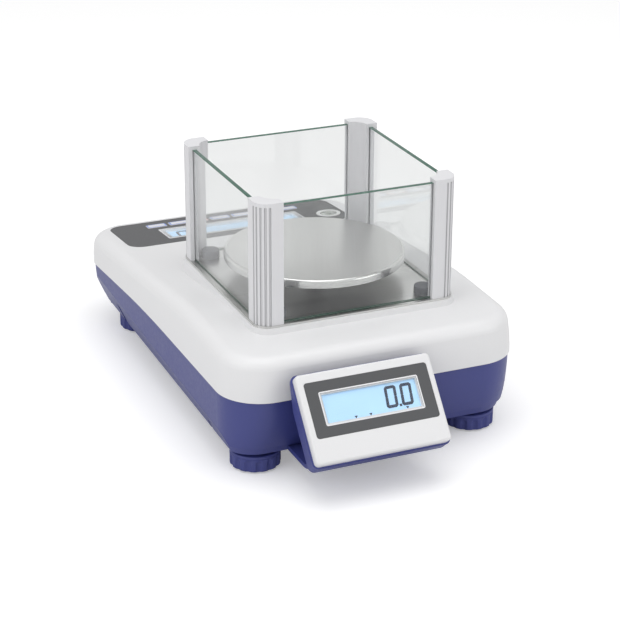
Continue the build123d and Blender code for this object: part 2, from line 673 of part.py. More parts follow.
def plate_screws():
    """Screws that hold the plate down on the cover, one under each cap."""
    radius, height = PLATE_SCREW_HEAD
    piece = screw(PLATE_SCREW_RADIUS - THREAD_CLEARANCE, PLATE_THICK + PLATE_SCREW_GRIP, radius, height)
    return [place * piece for place in cap_places().values()]


def weighing_pan():
    """Pressed steel pan with a rolled rim and a ring that drops round the support's hub."""
    pan = rod(PAN_RADIUS, PAN_TOP - PAN_RIM, PAN_TOP)
    pan = fillet(pan.edges().group_by(Axis.Z)[-1], PAN_EDGE_RADIUS)
    inner = rod(PAN_RADIUS - PAN_SHEET, 0, PAN_SEAT)
    inner = fillet(inner.edges().group_by(Axis.Z)[-1], PAN_EDGE_RADIUS - PAN_SHEET)
    pan -= inner
    ring = HUB_RADIUS + LOOSE_CLEARANCE
    pan += rod(ring + PAN_RING_WALL, PAN_SEAT - PAN_RING_HEIGHT, PAN_SEAT) - rod(ring, 0, PAN_SEAT)
    return Pos(0, PAN_Y, 0) * pan


def arm_top():
    """Height of the support's arms, below the buffers and the pan."""
    return PAN_SEAT - SEAT_CLEARANCE - BUFFER_HEIGHT


def pan_support():
    """Cross that carries the pan: four tapering arms, a hub and the spindle down to the cell."""
    top = arm_top()
    wide = ARM_WIDTH / 2
    tip = wide * ARM_TIP_SHARE
    points = [(0, wide), (ARM_REACH - wide, tip), (ARM_REACH, 0), (ARM_REACH - wide, -tip), (0, -wide)]
    outline = Polyline(*points, close=True)
    arm = Pos(0, 0, top - ARM_THICK) * extrude(make_face(outline), ARM_THICK)
    cross = rod(HUB_RADIUS, top - ARM_THICK, PAN_SEAT - SEAT_CLEARANCE)
    cross -= rod(HUB_RADIUS - HUB_WALL, top + HUB_FLOOR, PAN_TOP)
    for i in range(4):
        cross += Rot(0, 0, 45 + 90 * i) * arm
    cone = Cone(SPINDLE_RADIUS, HUB_RADIUS - HUB_CONE_STEP, HUB_CONE_HEIGHT,
                align=(Align.CENTER, Align.CENTER, Align.MAX))
    cross += Pos(0, 0, top - ARM_THICK) * cone
    cross += rod(SPINDLE_RADIUS, CELL_TOP + CARRIER_STEP + CARRIER_FLOOR, top)
    return Pos(0, PAN_Y, 0) * cross


def pan_buffers():
    """Rubber buffers on the ends of the arms, on which the pan lies."""
    buffer = Pos(ARM_REACH - BUFFER_INSET, 0, 0) * rod(BUFFER_RADIUS, arm_top(), arm_top() + BUFFER_HEIGHT)
    return [Pos(0, PAN_Y, 0) * Rot(0, 0, 45 + 90 * i) * buffer for i in range(4)]


def cell_screw_places(end):
    """Screw places at one end of the cell, or at both its ends."""
    y = PAN_Y + end * (CELL_LENGTH - CELL_END) / 2
    return [Pos(x, y, 0) for x in (-CELL_SCREW_PITCH / 2, CELL_SCREW_PITCH / 2)]


def load_cell():
    """Weighing beam with two round holes joined by a slot, which leaves four thin flexures."""
    centre = CELL_Z + CELL_HEIGHT / 2
    beam = Pos(0, PAN_Y, centre) * Box(CELL_WIDTH, CELL_LENGTH, CELL_HEIGHT)
    for y in (-CELL_HOLE_PITCH / 2, CELL_HOLE_PITCH / 2):
        beam -= Pos(0, PAN_Y + y, centre) * Rot(0, 90, 0) * Cylinder(CELL_HOLE_RADIUS, CELL_WIDTH)
    beam -= Pos(0, PAN_Y, centre) * Box(CELL_WIDTH, CELL_HOLE_PITCH, CELL_SLOT)
    beam -= [place * rod(CELL_SCREW_RADIUS, 0, DECK_Z) for end in (-1, 1) for place in cell_screw_places(end)]
    return beam


def load_cell_plate():
    """Base plate of the cell with a raised seat under the fixed end."""
    width, length, thick = CELL_PLATE
    plate = Pos(0, PAN_Y, 0) * slab(width, length, CELL_PLATE_RADIUS, CELL_PLATE_Z, CELL_PLATE_Z + thick)
    seat = block(CELL_WIDTH + 2 * CELL_SEAT_MARGIN, CELL_END, CELL_PLATE_Z, CELL_Z)
    plate += Pos(0, PAN_Y - (CELL_LENGTH - CELL_END) / 2, 0) * seat
    return plate - [place * rod(CELL_SCREW_RADIUS, 0, CELL_Z) for place in cell_screw_places(-1)]


def load_cell_screws():
    """Screws of the fixed end, from above, and of the free end, into the carrier."""
    radius = CELL_SCREW_RADIUS - RUNNING_CLEARANCE
    fixed = screw(radius, CELL_HEIGHT + CELL_SCREW_GRIP, *CELL_SCREW_HEAD)
    free = screw(radius, FREE_SCREW_LENGTH, *CELL_SCREW_HEAD)
    carrier_top = CELL_TOP + CARRIER_STEP + CARRIER_THICK
    screws = [place * Pos(0, 0, CELL_TOP) * fixed for place in cell_screw_places(-1)]
    return screws + [place * Pos(0, 0, carrier_top) * free for place in cell_screw_places(1)]


def pan_carrier():
    """Bracket on the cell's free end that reaches back to the pan's axis and holds the spindle."""
    low = CELL_TOP + CARRIER_STEP
    reach = CELL_LENGTH / 2 + CARRIER_BOSS_RADIUS
    arm = Box(CELL_WIDTH, reach, CARRIER_THICK, align=(Align.CENTER, Align.MIN, Align.MIN))
    carrier = Pos(0, PAN_Y - CARRIER_BOSS_RADIUS, low) * arm
    seat = block(CELL_WIDTH, CELL_END, CELL_TOP, low + CARRIER_FLOOR)
    carrier += Pos(0, PAN_Y + (CELL_LENGTH - CELL_END) / 2, 0) * seat
    carrier += Pos(0, PAN_Y, 0) * rod(CARRIER_BOSS_RADIUS, low, low + CARRIER_THICK + CARRIER_BOSS_HEIGHT)
    bore = rod(SPINDLE_RADIUS + RUNNING_CLEARANCE, low + CARRIER_FLOOR - SEAT_CLEARANCE, DECK_Z)
    carrier -= Pos(0, PAN_Y, 0) * bore
    return carrier - [place * rod(CELL_SCREW_RADIUS, 0, DECK_Z) for place in cell_screw_places(1)]


def panel_overlay():
    """Dark panel sheet with openings for the display window, the keys and the level."""
    gap = 2 * PANEL_CLEARANCE
    sheet = slab(PANEL_WIDTH - gap, PANEL_LENGTH - gap, PANEL_RADIUS - PANEL_CLEARANCE, -PANEL_THICK, 0)
    sheet = panel_plane(PANEL_CENTRE) * sheet
    sheet -= panel_plane(LCD_CENTRE) * block(LCD_WIDTH, LCD_LENGTH, -COVER_WALL, COVER_WALL)
    sheet -= key_holes()
    x, forward = LEVEL_PLACE
    return sheet - panel_plane(forward, x) * rod(LEVEL_RADIUS + LOOSE_CLEARANCE, -LEVEL_DEPTH, COVER_WALL)


def panel_window():
    """Clear window over the main display."""
    gap = 2 * PANEL_CLEARANCE
    return panel_plane(LCD_CENTRE) * block(LCD_WIDTH - gap, LCD_LENGTH - gap, -PANEL_THICK, 0)


def main_lcd():
    """Display module between the cover and the board."""
    top = -COVER_WALL - SEAT_CLEARANCE
    low = top - LCD_DEPTH + SEAT_CLEARANCE
    return panel_plane(LCD_CENTRE) * block(LCD_WIDTH - LCD_INSET, LCD_LENGTH - LCD_INSET, low, top)


def main_board():
    """Circuit board of the panel, on the cover's posts."""
    board = slab(BOARD_WIDTH, BOARD_LENGTH, BOARD_RADIUS, -LCD_FLOOR - BOARD_THICK, -LCD_FLOOR)
    return panel_plane(PANEL_CENTRE) * board


def key_switches():
    """Small switches on the board, one under each key."""
    switch = block(SWITCH_SIZE, SWITCH_SIZE, -LCD_FLOOR, -LCD_FLOOR + SWITCH_HEIGHT - SWITCH_STEP)
    switch += rod(SWITCH_BUTTON_RADIUS, -LCD_FLOOR, -LCD_FLOOR + SWITCH_HEIGHT)
    return [plane * switch for plane in key_planes()]


def panel_key(plane):
    """Key cap that stands a little proud of the panel, with the stem that reaches its switch."""
    cap = slab(KEY_WIDTH, KEY_LENGTH, KEY_RADIUS, -PANEL_THICK, KEY_PROUD)
    cap = chamfer(cap.faces().sort_by(Axis.Z)[-1].edges(), KEY_EDGE)
    stem_end = -LCD_FLOOR + SWITCH_HEIGHT + KEY_TRAVEL + SEAT_CLEARANCE
    return plane * (cap + block(KEY_STEM, KEY_STEM, stem_end, -PANEL_THICK))


def level_cup():
    """Cup of the bubble level with a rim that lies on the panel."""
    cup = rod(LEVEL_RADIUS, -LEVEL_DEPTH, 0) + rod(LEVEL_RADIUS + LEVEL_RIM, 0, LEVEL_RIM_THICK)
    cup -= rod(LEVEL_RADIUS - LEVEL_WALL, -LEVEL_DEPTH + LEVEL_WALL, COVER_WALL)
    x, forward = LEVEL_PLACE
    return panel_plane(forward, x) * cup


def level_lens():
    """Clear vial of the level, domed a little on top."""
    radius = LEVEL_RADIUS - LEVEL_WALL - SEAT_CLEARANCE
    vial = rod(radius, -LEVEL_DEPTH + LEVEL_WALL, LEVEL_RIM_THICK)
    vial = fillet(vial.edges().group_by(Axis.Z)[-1], LEVEL_EDGE_RADIUS)
    x, forward = LEVEL_PLACE
    return panel_plane(forward, x) * vial


def display_bezel():
    """White front frame of the second display, open at the back, with a label recess and a window."""
    bezel = slab(BEZEL_WIDTH, BEZEL_LENGTH, BEZEL_RADIUS, -BEZEL_DEPTH, 0)
    bezel = fillet(bezel.faces().sort_by(Axis.Z)[-1].edges(), BEZEL_EDGE_RADIUS)
    wall = 2 * BEZEL_WALL
    bezel -= slab(BEZEL_WIDTH - wall, BEZEL_LENGTH - wall, BEZEL_INNER_RADIUS, -BEZEL_DEPTH, -BEZEL_WALL)
    for x, y in DISPLAY_SCREWS:
        for side in (-1, 1):
            bezel += Pos(side * x, y, 0) * rod(DISPLAY_HEAD_RADIUS, -BEZEL_DEPTH, -BEZEL_WALL)
            bezel -= Pos(side * x, y, 0) * rod(DISPLAY_SCREW_RADIUS, -BEZEL_DEPTH, -BEZEL_WALL)
    label = slab(LABEL_WIDTH, LABEL_LENGTH, LABEL_RADIUS, -LABEL_THICK, 0)
    window = block(SMALL_LCD_WIDTH - SMALL_LCD_FRAME, SMALL_LCD_LENGTH - SMALL_LCD_FRAME, -BEZEL_DEPTH, 0)
    return display_plane() * (bezel - Pos(0, LABEL_OFFSET, 0) * (label + window))


def display_overlay():
    """Dark label of the second display with its window opening."""
    gap = 2 * PANEL_CLEARANCE
    label = slab(LABEL_WIDTH - gap, LABEL_LENGTH - gap, LABEL_RADIUS, -LABEL_THICK, 0)
    label -= block(SMALL_LCD_WIDTH, SMALL_LCD_LENGTH, -LABEL_THICK, 0)
    return display_plane() * (Pos(0, LABEL_OFFSET, 0) * label)


def display_window():
    """Clear window of the second display."""
    gap = 2 * PANEL_CLEARANCE
    window = block(SMALL_LCD_WIDTH - gap, SMALL_LCD_LENGTH - gap, -LABEL_THICK, 0)
    return display_plane() * (Pos(0, LABEL_OFFSET, 0) * window)


def display_lcd():
    """Display module behind the second window."""
    top = -BEZEL_WALL - SEAT_CLEARANCE
    width = SMALL_LCD_WIDTH + SMALL_LCD_FRAME
    length = SMALL_LCD_LENGTH + 2 * SMALL_LCD_FRAME
    return display_plane() * (Pos(0, LABEL_OFFSET, 0) * block(width, length, top - SMALL_LCD_DEPTH, top))


def display_board():
    """Circuit board behind the second display's module."""
    width, length, thick = DISPLAY_BOARD
    top = -BEZEL_WALL - SMALL_LCD_DEPTH - 2 * SEAT_CLEARANCE
    return display_plane() * (Pos(0, -DISPLAY_BOARD_DROP, 0) * block(width, length, top - thick, top))


def shell_profile(inset):
    """Side profile of the rear shell, which grows thinner towards its top edge."""
    half = BEZEL_LENGTH / 2 + SHELL_OVERHANG - inset
    front = -BEZEL_DEPTH + inset
    points = [(-half, front), (half, front), (half, -BEZEL_DEPTH - SHELL_TOP_DEPTH + min(inset, SHELL_TOP_WALL))]
    points += [(SHELL_TAPER_START, -SHELL_BACK + inset), (-half, -SHELL_BACK + inset)]
    width = BEZEL_WIDTH / 2 + SHELL_OVERHANG - inset
    return extrude(Plane.YZ * make_face(Polyline(*points, close=True)), width, both=True)


def display_arm():
    """Curved arm plate: out from under the tray, round a bend and up the shell's back."""
    out, up = DISPLAY_OUT, DISPLAY_UP
    back_y = DISPLAY_CENTRE - SHELL_BACK * out
    back_z = DISPLAY_Z - SHELL_BACK * up
    outer = ARM_BEND_RADIUS
    inner = ARM_BEND_RADIUS - ARM_PLATE
    low = BASE_Z + ARM_LIFT
    centre_z = low + outer
    centre_y = back_y - (inner + (centre_z - back_z) * up) / out
    start = PAN_TO_REAR - TRAY_LIP - TRAY_HEM[2] - HEM_STEP - ARM_TONGUE
    turn = 90 + DISPLAY_LEAN
    leg = (-up * ARM_LEG, out * ARM_LEG)
    tip_out = (centre_y + outer * out, centre_z + outer * up)
    tip_in = (centre_y + inner * out, centre_z + inner * up)
    far_out = (tip_out[0] + leg[0], tip_out[1] + leg[1])
    far_in = (tip_in[0] + leg[0], tip_in[1] + leg[1])
    edges = [
        Line((start, low), (centre_y, low)),
        CenterArc((centre_y, centre_z), outer, -90, turn),
        Line(tip_out, far_out),
        Line(far_out, far_in),
        Line(far_in, tip_in),
        CenterArc((centre_y, centre_z), inner, -90, turn),
        Line((centre_y, low + ARM_PLATE), (start, low + ARM_PLATE)),
        Line((start, low + ARM_PLATE), (start, low)),
    ]
    arm = extrude(Plane.YZ * make_face(edges), arm_width() / 2, both=True)
    return Pos(DISPLAY_X, PAN_Y, 0) * arm


def display_shell():
    """Blue rear shell of the second display with the arm that holds it to the tray."""
    width = BEZEL_WIDTH + 2 * SHELL_OVERHANG
    length = BEZEL_LENGTH + 2 * SHELL_OVERHANG
    shell = shell_profile(0.0) & slab(width, length, BEZEL_RADIUS + SHELL_OVERHANG, -SHELL_BACK, 0)
    shell -= shell_profile(SHELL_WALL)
    for x, y in DISPLAY_SCREWS:
        for side in (-1, 1):
            place = Pos(side * x, y, 0)
            shell += place * rod(DISPLAY_HEAD_RADIUS + SHELL_BOSS_WALL, -SHELL_BACK, -BEZEL_DEPTH - SEAT_CLEARANCE)
            shell -= place * rod(DISPLAY_SCREW_RADIUS + SEAT_CLEARANCE, -SHELL_BACK, 0)
            shell -= place * rod(DISPLAY_HEAD_RADIUS + SEAT_CLEARANCE, -SHELL_BACK, -SHELL_BACK + SHELL_WALL)
    return display_plane() * shell + display_arm()


def display_screws():
    """Screws from the shell's back into the bezel."""
    length = SHELL_BACK - SHELL_WALL - BEZEL_WALL
    radius = DISPLAY_SCREW_RADIUS - THREAD_CLEARANCE
    piece = Rot(180, 0, 0) * screw(radius, length, DISPLAY_HEAD_RADIUS, DISPLAY_HEAD_HEIGHT)
    plane = display_plane()
    depth = -SHELL_BACK + SHELL_WALL
    return [plane * (Pos(side * x, y, depth) * piece) for x, y in DISPLAY_SCREWS for side in (-1, 1)]


def housing_screws():
    """Screws from below that hold tray and cover together."""
    seat = TRAY_FLOOR + HOUSING_HEAD_HEIGHT
    radius = HOUSING_SCREW_RADIUS - THREAD_CLEARANCE
    piece = Rot(180, 0, 0) * screw(radius, HOUSING_SCREW_LENGTH, HOUSING_HEAD_RADIUS, HOUSING_HEAD_HEIGHT)
    return [place * Pos(0, 0, seat) * piece for place in pillar_places()]


def power_jack():
    """Round power socket with its centre pin, set flush in the sockets' panel."""
    jack = block(JACK_SIZE, JACK_SIZE, -JACK_DEPTH, 0)
    jack -= rod(JACK_BORE, -JACK_DEPTH + JACK_FLOOR, 0)
    jack += rod(JACK_PIN, -JACK_DEPTH, -JACK_PIN)
    return socket_plane(JACK_OFFSET) * jack


def data_port():
    """Data socket: a flange, a tapered shell filled by its insulator and two threaded standoffs."""
    width, height = PORT_SHELL
    port = slab(*PORT_BODY, PORT_CORNER_RADIUS, 0, PORT_FLANGE)
    wide, high = width / 2, height / 2
    points = [(-wide, high), (wide, high), (wide - PORT_TAPER, -high), (PORT_TAPER - wide, -high)]
    shell = fillet(make_face(Polyline(*points, close=True)).vertices(), PORT_SHELL_RADIUS)
    port += extrude(shell, PORT_FLANGE + PORT_SHELL_DEPTH)
    port += block(width, height, -PORT_BACK, 0)
    for side in (-1, 1):
        standoff = Pos(side * PORT_SCREW_PITCH / 2, 0, 0)
        port += standoff * extrude(RegularPolygon(PORT_STANDOFF_RADIUS, 6), PORT_FLANGE + PORT_SHELL_DEPTH - 1)
        port -= standoff * rod(PORT_HOLE_RADIUS, 0, PORT_FLANGE + PORT_SHELL_DEPTH)
    return socket_plane(PORT_OFFSET) * port


def cornered(name, build):
    """The same piece at each corner of the shield."""
    return {f"{name}_{key}": build(sides) for key, sides in CORNERS.items()}


def sub_parts():
    """Every sub-part by the name of its node."""
    parts = {
        "base_tray": base_tray(), "top_cover": top_cover(), "panel_overlay": panel_overlay(),
        "panel_window": panel_window(), "main_lcd": main_lcd(), "main_board": main_board(),
        "key_switches": key_switches(), "level_cup": level_cup(), "level_lens": level_lens(),
        "load_cell_plate": load_cell_plate(), "load_cell": load_cell(), "load_cell_screws": load_cell_screws(),
        "pan_carrier": pan_carrier(), "pan_support": pan_support(), "pan_buffers": pan_buffers(),
        "weighing_pan": weighing_pan(), "shield_plate": shield_plate(), "plate_screws": plate_screws(),
        "display_bezel": display_bezel(), "display_shell": display_shell(),
        "display_overlay": display_overlay(), "display_window": display_window(),
        "display_lcd": display_lcd(), "display_board": display_board(), "display_screws": display_screws(),
        "housing_screws": housing_screws(), "power_jack": power_jack(), "data_port": data_port(),
        "glass_front": glass_pane(True, -1), "glass_rear": glass_pane(True, 1),
        "glass_left": glass_pane(False, -1), "glass_right": glass_pane(False, 1),
    }
    post = shield_post()
    cap = post_cap()
    caps = cap_places()
    feet = {key: Pos(*foot_place(sides), 0) for key, sides in CORNERS.items()}
    parts.update(cornered("shield_post", lambda sides: corner(post, sides)))
    parts.update(cornered("post_cap", lambda sides: corner(cap, sides)))
    parts.update({f"plate_cap_{key}": plate_cap(place) for key, place in caps.items()})
    parts.update({f"foot_knob_{key}": foot_knob(place) for key, place in feet.items()})
    parts.update({f"foot_pad_{key}": foot_pad(place) for key, place in feet.items()})
    parts["foot_inserts"] = [foot_insert(place) for place in feet.values()]
    parts.update({f"key_{i + 1}": panel_key(plane) for i, plane in enumerate(key_planes())})
    return parts


os.makedirs("parts", exist_ok=True)
for node, shape in sub_parts().items():
    if isinstance(shape, list):
        shape = Compound(children=shape)
    export_step(shape, f"parts/{node}.step")
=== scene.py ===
"""A precision balance with a glass draft shield and a second display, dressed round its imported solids."""
import json
import math

import bmesh
import bpy
import numpy as np
from mathutils import Matrix, Vector


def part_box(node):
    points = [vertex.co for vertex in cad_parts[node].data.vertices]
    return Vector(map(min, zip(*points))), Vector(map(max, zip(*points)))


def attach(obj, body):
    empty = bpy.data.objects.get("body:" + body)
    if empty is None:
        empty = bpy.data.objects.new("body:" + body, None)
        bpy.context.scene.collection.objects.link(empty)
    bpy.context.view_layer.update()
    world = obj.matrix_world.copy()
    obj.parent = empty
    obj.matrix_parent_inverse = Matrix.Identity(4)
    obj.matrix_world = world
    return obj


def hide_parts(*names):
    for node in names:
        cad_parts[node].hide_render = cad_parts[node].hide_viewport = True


bl_info = {
    "name": "Precision balance",
    "version": (1, 0, 0),
    "blender": (4, 5, 0),
    "location": "View3D > Sidebar > Balance",
    "description": "Surfaces, finishes, light and camera for a balance with a shield and two displays",
    "category": "Object",
}

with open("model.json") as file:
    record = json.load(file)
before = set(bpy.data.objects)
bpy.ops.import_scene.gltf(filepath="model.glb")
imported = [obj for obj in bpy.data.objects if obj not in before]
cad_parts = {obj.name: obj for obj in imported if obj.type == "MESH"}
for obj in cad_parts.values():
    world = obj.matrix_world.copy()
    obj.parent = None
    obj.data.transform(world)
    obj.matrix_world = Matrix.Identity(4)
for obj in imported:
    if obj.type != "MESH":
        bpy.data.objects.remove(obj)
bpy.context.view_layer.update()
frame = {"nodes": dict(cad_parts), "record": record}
NODES = frame["nodes"]
CORNERS = ("front_left", "front_right", "rear_left", "rear_right")
MM = 0.001


def centre(node):
    """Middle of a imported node's box."""
    low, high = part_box(node)
    return np.array((low + high) / 2)


class Sheet:
    """A flat frame on the object: an origin, the reader's right, the way up and the way out of the face."""

    def __init__(self, origin, right, out):
        self.origin = np.array(origin, float)
        self.right = np.array(right, float)
        self.out = np.array(out, float)
        self.up = np.cross(self.out, self.right)

    def place(self, points):
        """Points given as (right, up, out) in millimetres, moved onto the object in metres."""
        return self.origin + np.asarray(points, float) * MM @ np.array([self.right, self.up, self.out])


DECK_TILT = math.radians(5.0)
DISPLAY_LEAN = math.radians(39.7)
PAN_AXIS = centre("weighing_pan")
PANEL_OUT = (0, -math.sin(DECK_TILT), math.cos(DECK_TILT))
DISPLAY_OUT = (0, math.cos(DISPLAY_LEAN), math.sin(DISPLAY_LEAN))

# The rest of the sizes are in millimetres. A window's face lies half its thickness out from its middle.

PANEL_WINDOW = (108.0, 25.0)
PANEL_WINDOW_HALF = 0.4
DISPLAY_WINDOW = (66.0, 20.4)
DISPLAY_WINDOW_HALF = 0.3
DISPLAY_WINDOW_UP = 5.0
PANEL = Sheet(centre("panel_window") + np.array(PANEL_OUT) * PANEL_WINDOW_HALF * MM, (1, 0, 0), PANEL_OUT)
READOUT = Sheet(centre("display_window") + np.array(DISPLAY_OUT) * DISPLAY_WINDOW_HALF * MM, (-1, 0, 0),
                DISPLAY_OUT)

WINDOW_RADIUS = 1.2
FRAME_LINE_LEVELS = (-0.02, 0.03)
PANEL_FIGURE_LEVEL = -2.58
DISPLAY_FIGURE_LEVEL = -2.28
FIGURE_THICK = 0.08
FIGURE_LEAN = math.radians(5.0)
MARK_TRIANGLE = ((-1.1, 0.8), (1.1, 0.8), (0.0, -0.8))
MARK_PLACES = ((-12.4, -8.2), (-2.4, -8.2), (22.9, -8.2))

NOSE_CENTRE = (60.0, 61.5)
# Band of painted shade over the posts' grooves, as distances from the nose's centre.
GROOVE_SHADE_START = (9.2, 9.3)
GROOVE_SHADE_END = (9.45, 9.95)
PANE_CHAMFER = 0.35
PANE_RADIUS = 0.6
PAN_SHEET = 1.0
PAN_BEND = 2.2

KEY_LENGTH = 7.5
KEY_FACE = ((7.2, 3.45, 0.0), (7.2, 3.45, 0.06), (6.6, 2.85, 0.09), (6.3, 2.55, 0.16))
KEY_WHITE = (6.45, 2.7)
RED_KEY = 5

KNOB_HEIGHT = 10.8
KNOB_EDGE = 0.8
FLUTES = 14
FLUTE_RADIUS = 3.1
FLUTE_DEPTH = 1.1
FLUTE_ARCH = 7.14

VIAL_FACE = 1.2
LEVEL_RING = ((3.3, 0.0), (3.3, 0.05), (3.6, 0.05), (3.6, 0.0))
BUBBLE_LEVEL = -1.1
BUBBLE_RISE = 0.9

HOUSING_SCREWS = ((86.0, 176.0), (88.0, 28.0), (48.0, -68.0))
DISPLAY_SCREWS = ((39.5, 8.0), (39.5, -21.0))
DISPLAY_SCREW_SEAT = -14.1

CONTACT_PITCH = 2.77
CONTACT_ROWS = ((5, 1.42), (4, -1.42))
CONTACT_PROFILE = ((0.02, 0.0), (0.36, 0.0), (0.4, -0.02), (0.62, -0.02), (0.62, -0.3), (0.02, -0.3))
CONTACT_HOLE = 0.3
LINING_PROFILE = ((3.1, -0.2), (3.1, -9.8), (2.85, -9.8), (2.85, -0.2))

CAMERA_FROM_PAN = (481.4, 1109.7, 578.1)
CAMERA_AIM = (3.9, 0.0, 62.8)
CAMERA_ROLL = math.radians(0.19)


# Meshes

def skin(rows, ring=False):
    """Closed shells over rows of points, shaped (shells, rows, points round a row, 3).

    Each quad joins neighbours in a row with the same two in the next row. A ring's last row joins its
    first, and any other shell is closed by a face over its first row and one over its last.
    """
    shells, levels, around, _ = rows.shape
    index = np.arange(shells * levels * around).reshape(shells, levels, around)
    low = index if ring else index[:, :-1]
    high = np.roll(index, -1, axis=1) if ring else index[:, 1:]
    quads = np.stack([low, np.roll(low, -1, axis=2), np.roll(high, -1, axis=2), high], axis=-1)
    faces = quads.reshape(-1, 4).tolist()
    if not ring:
        faces += index[:, 0, ::-1].tolist() + index[:, -1].tolist()
    return rows.reshape(-1, 3), faces


def piece(name, points, faces, materials, body, slot, replaces=(), sharp=35.0, choose=None):
    """Make a mesh object of points and faces, clean it and hang it on a body.

    Doubled points are merged and the faces turned out. Where there are several materials, choose gives each
    face's place in their list from the faces' normals and centres.
    """
    mesh = bpy.data.meshes.new(name)
    mesh.from_pydata(np.asarray(points).tolist(), [], faces)
    work = bmesh.new()
    work.from_mesh(mesh)
    bmesh.ops.remove_doubles(work, verts=work.verts, dist=1e-7)
    bmesh.ops.dissolve_degenerate(work, edges=work.edges, dist=1e-8)
    bmesh.ops.recalc_face_normals(work, faces=work.faces)
    work.to_mesh(mesh)
    work.free()
    mesh.shade_smooth()
    mesh.set_sharp_from_angle(angle=math.radians(sharp))
    for material in materials if isinstance(materials, (list, tuple)) else (materials,):
        mesh.materials.append(material)
    if choose:
        normals, centres = np.empty((2, len(mesh.polygons) * 3))
        mesh.polygons.foreach_get("normal", normals)
        mesh.polygons.foreach_get("center", centres)
        chosen = choose(normals.reshape(-1, 3), centres.reshape(-1, 3))
        mesh.polygons.foreach_set("material_index", chosen.astype(int))
    obj = bpy.data.objects.new(name, mesh)
    bpy.context.scene.collection.objects.link(obj)
    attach(obj, body)
    if replaces:
        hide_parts(*replaces)
    return obj


def rounded_outline(width, length, radius, steps=7):
    """Rounded rectangle: each corner's centre plus the radius times (cos, sin) over a quarter turn."""
    turn = np.radians(np.arange(0, 360, 90))[:, None] + np.linspace(0, np.pi / 2, steps)
    corner = np.array([(1, 1), (-1, 1), (-1, -1), (1, -1)]) * (width / 2 - radius, length / 2 - radius)
    return (corner[:, None] + radius * np.stack([np.cos(turn), np.sin(turn)], axis=-1)).reshape(-1, 2)


def lifted(outline, height):
    """Outline points with a height added as the third number."""
    return np.concatenate([outline, np.full((*outline.shape[:-1], 1), float(height))], axis=-1)


def plates(outlines, low, high):
    """Prism rows over outlines shaped (shells, points, 2): each outline at a low and a high level."""
    return np.stack([lifted(outlines, low), lifted(outlines, high)], axis=1)


def frame_ring(window, line):
    """Rows of a flat frame round a window: the outer outline low and high, then the inner high and low."""
    width, length = window
    low, high = FRAME_LINE_LEVELS
    outer = rounded_outline(width + 2 * line, length + 2 * line, WINDOW_RADIUS)
    inner = rounded_outline(width, length, max(WINDOW_RADIUS - line, 0.1))
    levels = ((outer, low), (outer, high), (inner, high), (inner, low))
    return np.stack([lifted(outline, level) for outline, level in levels])[None]


def lathe(profile, steps):
    """Surface of revolution: a profile point (r, height) turns about the axis to (r cos, r sin, height)."""
    turn = np.linspace(0, 2 * np.pi, steps, endpoint=False)
    radius, height = np.asarray(profile, float).T
    ring = np.stack([np.cos(turn), np.sin(turn)], axis=-1)
    rows = radius[:, None, None] * ring
    heights = np.broadcast_to(height[:, None, None], (*rows.shape[:2], 1))
    return np.concatenate([rows, heights], axis=-1)[None]


# Node trees

class Tree:
    """Short calls that add nodes to a tree: an input that is a socket is linked, any other is set."""

    def __init__(self, tree):
        self.tree = tree

    def add(self, kind, inputs=None, **settings):
        """Add a node with its settings and inputs, and return it."""
        node = self.tree.nodes.new("ShaderNode" + kind)
        for key, value in settings.items():
            setattr(node, key, value)
        for key, value in (inputs or {}).items():
            if isinstance(value, bpy.types.NodeSocket):
                self.tree.links.new(value, node.inputs[key])
            else:
                node.inputs[key].default_value = value
        return node

    def math(self, operation, first, second=0.0, clamp=False):
        """Result of one arithmetic step."""
        return self.add("Math", {0: first, 1: second}, operation=operation, use_clamp=clamp).outputs[0]

    def noise(self, vector, scale, detail, roughness):
        """Noise value at a scale in cells per metre."""
        inputs = {"Vector": vector, "Scale": scale, "Detail": detail, "Roughness": roughness}
        return self.add("TexNoise", inputs).outputs[0]

    def ranged(self, value, low, high, to_low, to_high):
        """Value moved from one range to another and clamped."""
        inputs = {0: value, 1: low, 2: high, 3: to_low, 4: to_high}
        return self.add("MapRange", inputs).outputs[0]

    def scaled(self, vector, factors):
        """Vector with each axis multiplied."""
        return self.add("Mapping", {"Vector": vector, "Scale": factors}).outputs[0]

    def blend(self, factor, first, second, mode="MIX"):
        """Colour mixed or multiplied by a factor."""
        node = self.add("Mix", {"Factor": factor}, data_type="RGBA", blend_type=mode)
        for socket, value in ((node.inputs[6], first), (node.inputs[7], second)):
            if isinstance(value, bpy.types.NodeSocket):
                self.tree.links.new(value, socket)
            else:
                socket.default_value = (*value, 1.0)
        return node.outputs[2]


def shader_group(name, inputs, outputs, wire):
    """Make a node group once: named inputs and outputs, and wire(tree, inputs) that returns its results."""
    if name in bpy.data.node_groups:
        return bpy.data.node_groups[name]
    group = bpy.data.node_groups.new(name, "ShaderNodeTree")
    for label, value in inputs.items():
        kind = "NodeSocketVector" if value is None else "NodeSocketFloat"
        socket = group.interface.new_socket(label, in_out="INPUT", socket_type=kind)
        if value is not None:
            socket.default_value = value
    for label in outputs:
        group.interface.new_socket(label, in_out="OUTPUT", socket_type="NodeSocketFloat")
    entry = group.nodes.new("NodeGroupInput")
    leave = group.nodes.new("NodeGroupOutput")
    for label, socket in zip(outputs, wire(Tree(group), entry.outputs)):
        group.links.new(socket, leave.inputs[label])
    return group


